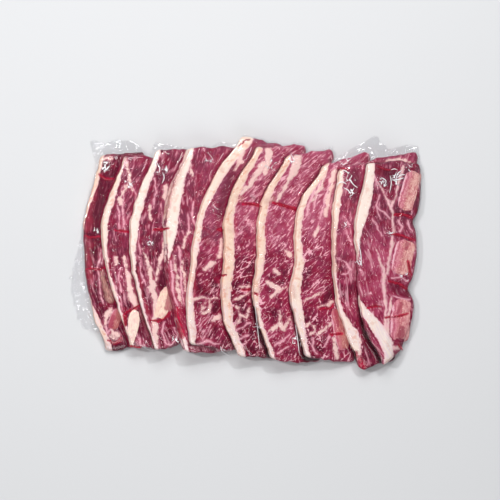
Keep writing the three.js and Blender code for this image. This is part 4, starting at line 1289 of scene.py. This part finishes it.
# Sawn rib: spongy bone in streaks along the rib with red pores, marrow marks, a pinkish left
# side and a rim that runs into the meat
def boneFinish(rib):
    finish = Finish(rib["node"] + "_sawn")
    grain = finish.vector("grain")
    streak = finish.noise(finish.laid(grain, 4, (0.9, 5.5)), 1.0, 3.0, 0.62)
    cloud = finish.noise(grain, 0.22)
    ragged = finish.noise(grain, 0.9, 2.0, 0.6) - 0.5
    pores = finish.noise(grain, 1.3, 3.0, 0.65)
    ruddy = [c * (1 - rib["red"] * f) for c, f in zip(rib["hue"], sawn["ruddy"])]
    pale = [c * 0.5 + 127 * f for c, f in zip(rib["hue"], sawn["pale"])]
    fascia = rib["fascia"]
    side = finish.number("side") + ragged * 0.3 + (cloud - 0.5) * 0.5
    spongy = (1 - abs(side + 0.12).eased(0.08, 0.42)) * pores.eased(0.42, 0.56)
    line = 1 - abs(side + 0.60).eased(0.03, 0.13)
    rim = finish.number("rim") + ragged * 0.2
    shown = finish.coats(ruddy, [
        ((streak * 0.8 + cloud * 0.6).eased(0.46, 0.80), rib["hue"]),
        (pores.eased(0.50, 0.62) * 0.8, ruddy),
        ((1 - streak).eased(0.54, 0.66) * 0.6 * rib["red"], sawn["streak"]),
        (streak.eased(0.56, 0.68) * 0.8, pale),
        ((0 - side).eased(-0.05, 0.45) * 0.8 * fascia, sawn["left"]),
        (spongy * fascia, sawn["spongy"]),
        (line * fascia * 0.9, sawn["line"]),
        ((0 - side).eased(0.70, 0.80) * fascia, sawn["skin"]),
        ((finish.number("marrow") + ragged * 3).eased(-0.8, 0.8) * 0.75, sawn["marrow"]),
        (rim.eased(0.93, 1.0) * (0.2 + 0.6 * fascia), sawn["rim"]),
        (rim.eased(0.92, 1.0) * cloud.eased(0.38, 0.54) * 0.85, sawn["rimRed"]),
        ((finish.number("crease") + ragged * 2.5).eased(-0.8, 0.5) * 0.85, beef["juice"]),
    ])
    return finish.flesh(shown, 0.4 + cloud * 0.2, pores * 0.6 + streak * 0.4, sawn)


# Clear film: what is behind shows through but for a mirror share that Fresnel's law gives, and
# painted white where it is folded or wrinkled, standing for whitened film and for glints
def filmFinish(name, least, folded, whiteningAndGlints):
    finish = Finish(name)
    place = finish.node("TexCoord", output="Object")
    wrinkle = finish.number("wrinkle")
    ripple = finish.noise(place, 220.0, 2.0, 0.55)
    folds = finish.creaseLines(finish.shift(place, 0.012, 60.0), 70.0, 0.90, 1.0)
    folds = folds * finish.noise(place, 45.0, 1.0).eased(0.48, 0.62)
    pucker = finish.creaseLines(finish.shift(place, 0.006, 130.0), 190.0, 0.86, 1.0) * wrinkle
    dents = finish.noise(place, 420.0, 1.0, 0.4).eased(0.60, 0.74)
    dents = dents * finish.noise(place, 60.0, 1.0).eased(0.45, 0.6)
    normal = finish.bump(ripple * 0.16 + folds * 0.5 + (pucker + dents * 0.5) * 0.9, 0.0012, 0.8)
    mirror = finish.node("Fresnel", None, {"IOR": film["ior"], "Normal": normal})
    share = finish.maths("MINIMUM", mirror, film["mostMirror"]) + least
    whiteFoldAndGlint = whiteningAndGlints
    if folded:
        share = share + finish.number("folds") * film["foldMirror"]
        # white lines along the wrinkles: whitened film and painted glints
        lines = finish.creaseLines(finish.shift(place, 0.008, 110.0), 150.0, 0.90, 0.99) * wrinkle
        whiteFoldAndGlint = lines.eased(0.35, 0.9) * finish.noise(place, 320.0, 1.0).eased(0.40, 0.52) * whiteningAndGlints
    clear = finish.node("BsdfTransparent", None, {"Color": film["clear"]})
    mirrorInputs = {"Color": (1, 1, 1, 1), "Roughness": film["roughness"], "Normal": normal}
    gloss = finish.node("BsdfGlossy", None, mirrorInputs)
    sheet = finish.node("MixShader", None, {0: share, 1: clear, 2: gloss})
    # matte white that paints the whitened folds and the glints
    pale = finish.node("BsdfPrincipled", None, {"Base Color": paint(*film["whiteFoldAndGlint"]), "Roughness": 0.3})
    return finish.surface(finish.node("MixShader", None, {0: whiteFoldAndGlint, 1: sheet, 2: pale}))


juice = {
    "thin": (204, 24, 66),
    "thick": (172, 8, 44),
    "lift": -0.12,
    "tall": 0.10,
    "share": 0.6,  # of a crease's half width
    "widest": 2.0,  # a crease as wide as this holds no line of juice
}


# Thin juice: clear red in clouds, wet
def juiceFinish():
    finish = Finish("meat_juice")
    cloud = finish.noise(finish.node("TexCoord", output="Object"), 180.0)
    return finish.surface(finish.node("BsdfPrincipled", None, {
        "Base Color": finish.coats(juice["thick"], [(cloud.eased(0.35, 0.7), juice["thin"])]),
        "Roughness": 0.12 + cloud * 0.1,
        "Alpha": 0.35 + cloud * 0.4,
    }))


# Folds of film that stand up and catch the light, their white painted as whitened film and glints:
# half width, height, then the points of the way
curls = [
    (0.6, 0.6, -127.5, 80, -126, 76, -127, 72), (0.6, 0.5, -79, 80, -76.5, 76, -77, 71),
    (0.5, 0.5, -74, 72, -72.5, 67, -74.5, 62), (0.5, 0.4, -88, 8, -85, 10, -83, 6),
    (0.6, 0.6, 87, 74, 90, 73, 93, 70.5), (0.5, 0.5, 94, 66, 97, 61, 101, 58),
    (0.7, 0.7, 82.4, 59.6, 84, 62.3, 87.6, 63, 91, 61), (0.6, 0.6, 88, 58, 92, 56, 95, 52),
    (0.6, 0.6, 88.5, 27, 90, 25.5, 91, 24), (0.7, 0.7, 131.5, 65, 137, 65.4, 142.5, 67),
    (0.6, 0.6, 135.5, 65, 137, 70.6, 141.1, 74), (0.6, 0.6, 136.5, 67, 140, 69.5, 144, 70),
    (0.5, 0.5, 130.8, 74, 134, 75, 137, 74), (0.5, 0.5, 130, 69, 131, 62, 129.3, 53),
    (0.5, 0.5, 120.4, 65, 122.4, 66.6, 125.9, 64.4, 125.6, 61.7, 123.4, 60.2),
    (0.4, 0.4, 122.6, 64, 124.4, 63.4, 123.5, 61.7), (0.5, 0.5, 100, 12, 103, 0, 104, -12),
    (0.5, 0.5, 45, -64, 47, -76, 49, -92), (0.4, 0.4, 8.5, -42, 11, -66, 13.5, -88),
    (0.5, 0.5, -22, -84, -20, -90, -14, -94), (0.4, 0.4, -92, -84, -88, -88, -84, -88),
]

print("slices")
faces = []
for k in range(len(slices)):
    piece, face = makeSlice(k)
    piece.data.materials.append(beefFinish(k))
    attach(piece, "root")
    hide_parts(f"slice_{k + 1:02d}")
    faces.append(face)

print("ribs")
for index, rib in enumerate(ribs):
    rib = plainRib | rib
    piece, face = makeBone(index, rib)
    piece.data.materials.append(boneFinish(rib))
    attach(piece, "root")
    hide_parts(rib["node"])
    faces.append(face)

print("film and juice")
meatMap, filmMap = filmHeights(faces)
clearFilm = makeFilm(meatMap, filmMap)
# white lines on its wrinkles are whitened film and painted glints
clearFilm.data.materials.append(filmFinish("clear_film", least=0.0, folded=True, whiteningAndGlints=0.85))
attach(clearFilm, "root")
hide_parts("vacuum_pouch")

curlPiece = makeRidges("film_curls", curls, filmMap, lift=0.15, scale=0.75)
# the curls are nine tenths painted white, for whitened film and glints
curlPiece.data.materials.append(filmFinish("folded_film_glints", least=0.10, folded=False, whiteningAndGlints=0.9))
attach(curlPiece, "root")

juiceWays = [
    (max(start, end) * juice["share"], juice["tall"], *way)
    for cut in slices
    for start, end, *way in cut["crease"]
    if max(start, end) < juice["widest"]
]
juicePiece = makeRidges("juice_lines", juiceWays, filmMap, lift=juice["lift"])
juicePiece.data.materials.append(juiceFinish())
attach(juicePiece, "root")

# Studio: a pale floor, a soft key light on the side of +Y, a fill from the other side and small
# glint lights
studio = {
    "view": (0.00256, 0.00185, 1.5),
    "lens": 118.8,
    "floorColour": (200, 201, 203),
    "floorHalf": 4.0,
    "floorLevel": -0.0003,
    "sky": 0.19,
    "lights": {  # place, width and watts
        "key": ((-0.04, 0.90, 1.22), 0.80, 11.9),
        "front": ((0.08, -1.05, 1.08), 1.10, 8.0),
        "glint": ((-0.70, 0.25, 1.12), 0.06, 6.8),
        "spark": ((0.30, 0.70, 1.10), 0.06, 5.0),
    },
}


# A disc light turned to the origin: pitch from its height, heading from its place in plan
def aimLight(name, at, size, power):
    data = bpy.data.lights.new(name, "AREA")
    data.shape = "DISK"
    data.size = size
    data.energy = power
    light = addObject(name, data)
    light.location = at
    light.rotation_euler = (math.atan2(math.hypot(at[0], at[1]), at[2]), 0, math.atan2(at[0], -at[1]))


# A square floor just below the pack, the lights, the sky and the camera above
def makeStudio():
    side, level = studio["floorHalf"], studio["floorLevel"]
    corners = [(-side, -side, level), (side, -side, level), (side, side, level), (-side, side, level)]
    floorMesh = bpy.data.meshes.new("studio_floor")
    floorMesh.from_pydata(corners, [], [(0, 1, 2, 3)])
    floor = addObject("studio_floor", floorMesh)
    finish = Finish("studio_floor")
    inputs = {"Base Color": paint(*studio["floorColour"]), "Roughness": 0.8}
    floorMesh.materials.append(finish.surface(finish.node("BsdfPrincipled", None, inputs)))
    floor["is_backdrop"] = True
    for name, (at, size, power) in studio["lights"].items():
        aimLight(name + "_light", at, size, power)
    world = bpy.data.worlds.new("studio_sky")
    world.use_nodes = True
    background = world.node_tree.nodes["Background"]
    background.inputs["Color"].default_value = (1, 1, 1, 1)
    background.inputs["Strength"].default_value = studio["sky"]
    bpy.context.scene.world = world
    data = bpy.data.cameras.new("studio_camera")
    data.lens = studio["lens"]
    data.sensor_width = 36.0
    camera = addObject("studio_camera", data)
    camera.location = studio["view"]
    bpy.context.scene.camera = camera
    bpy.context.scene.view_settings.view_transform = "Standard"


print("studio")
makeStudio()

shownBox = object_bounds()
for name, box in (("cad", cadBox), ("shown", shownBox)):
    print(name, [[round(v, 4) for v in c] for c in box])
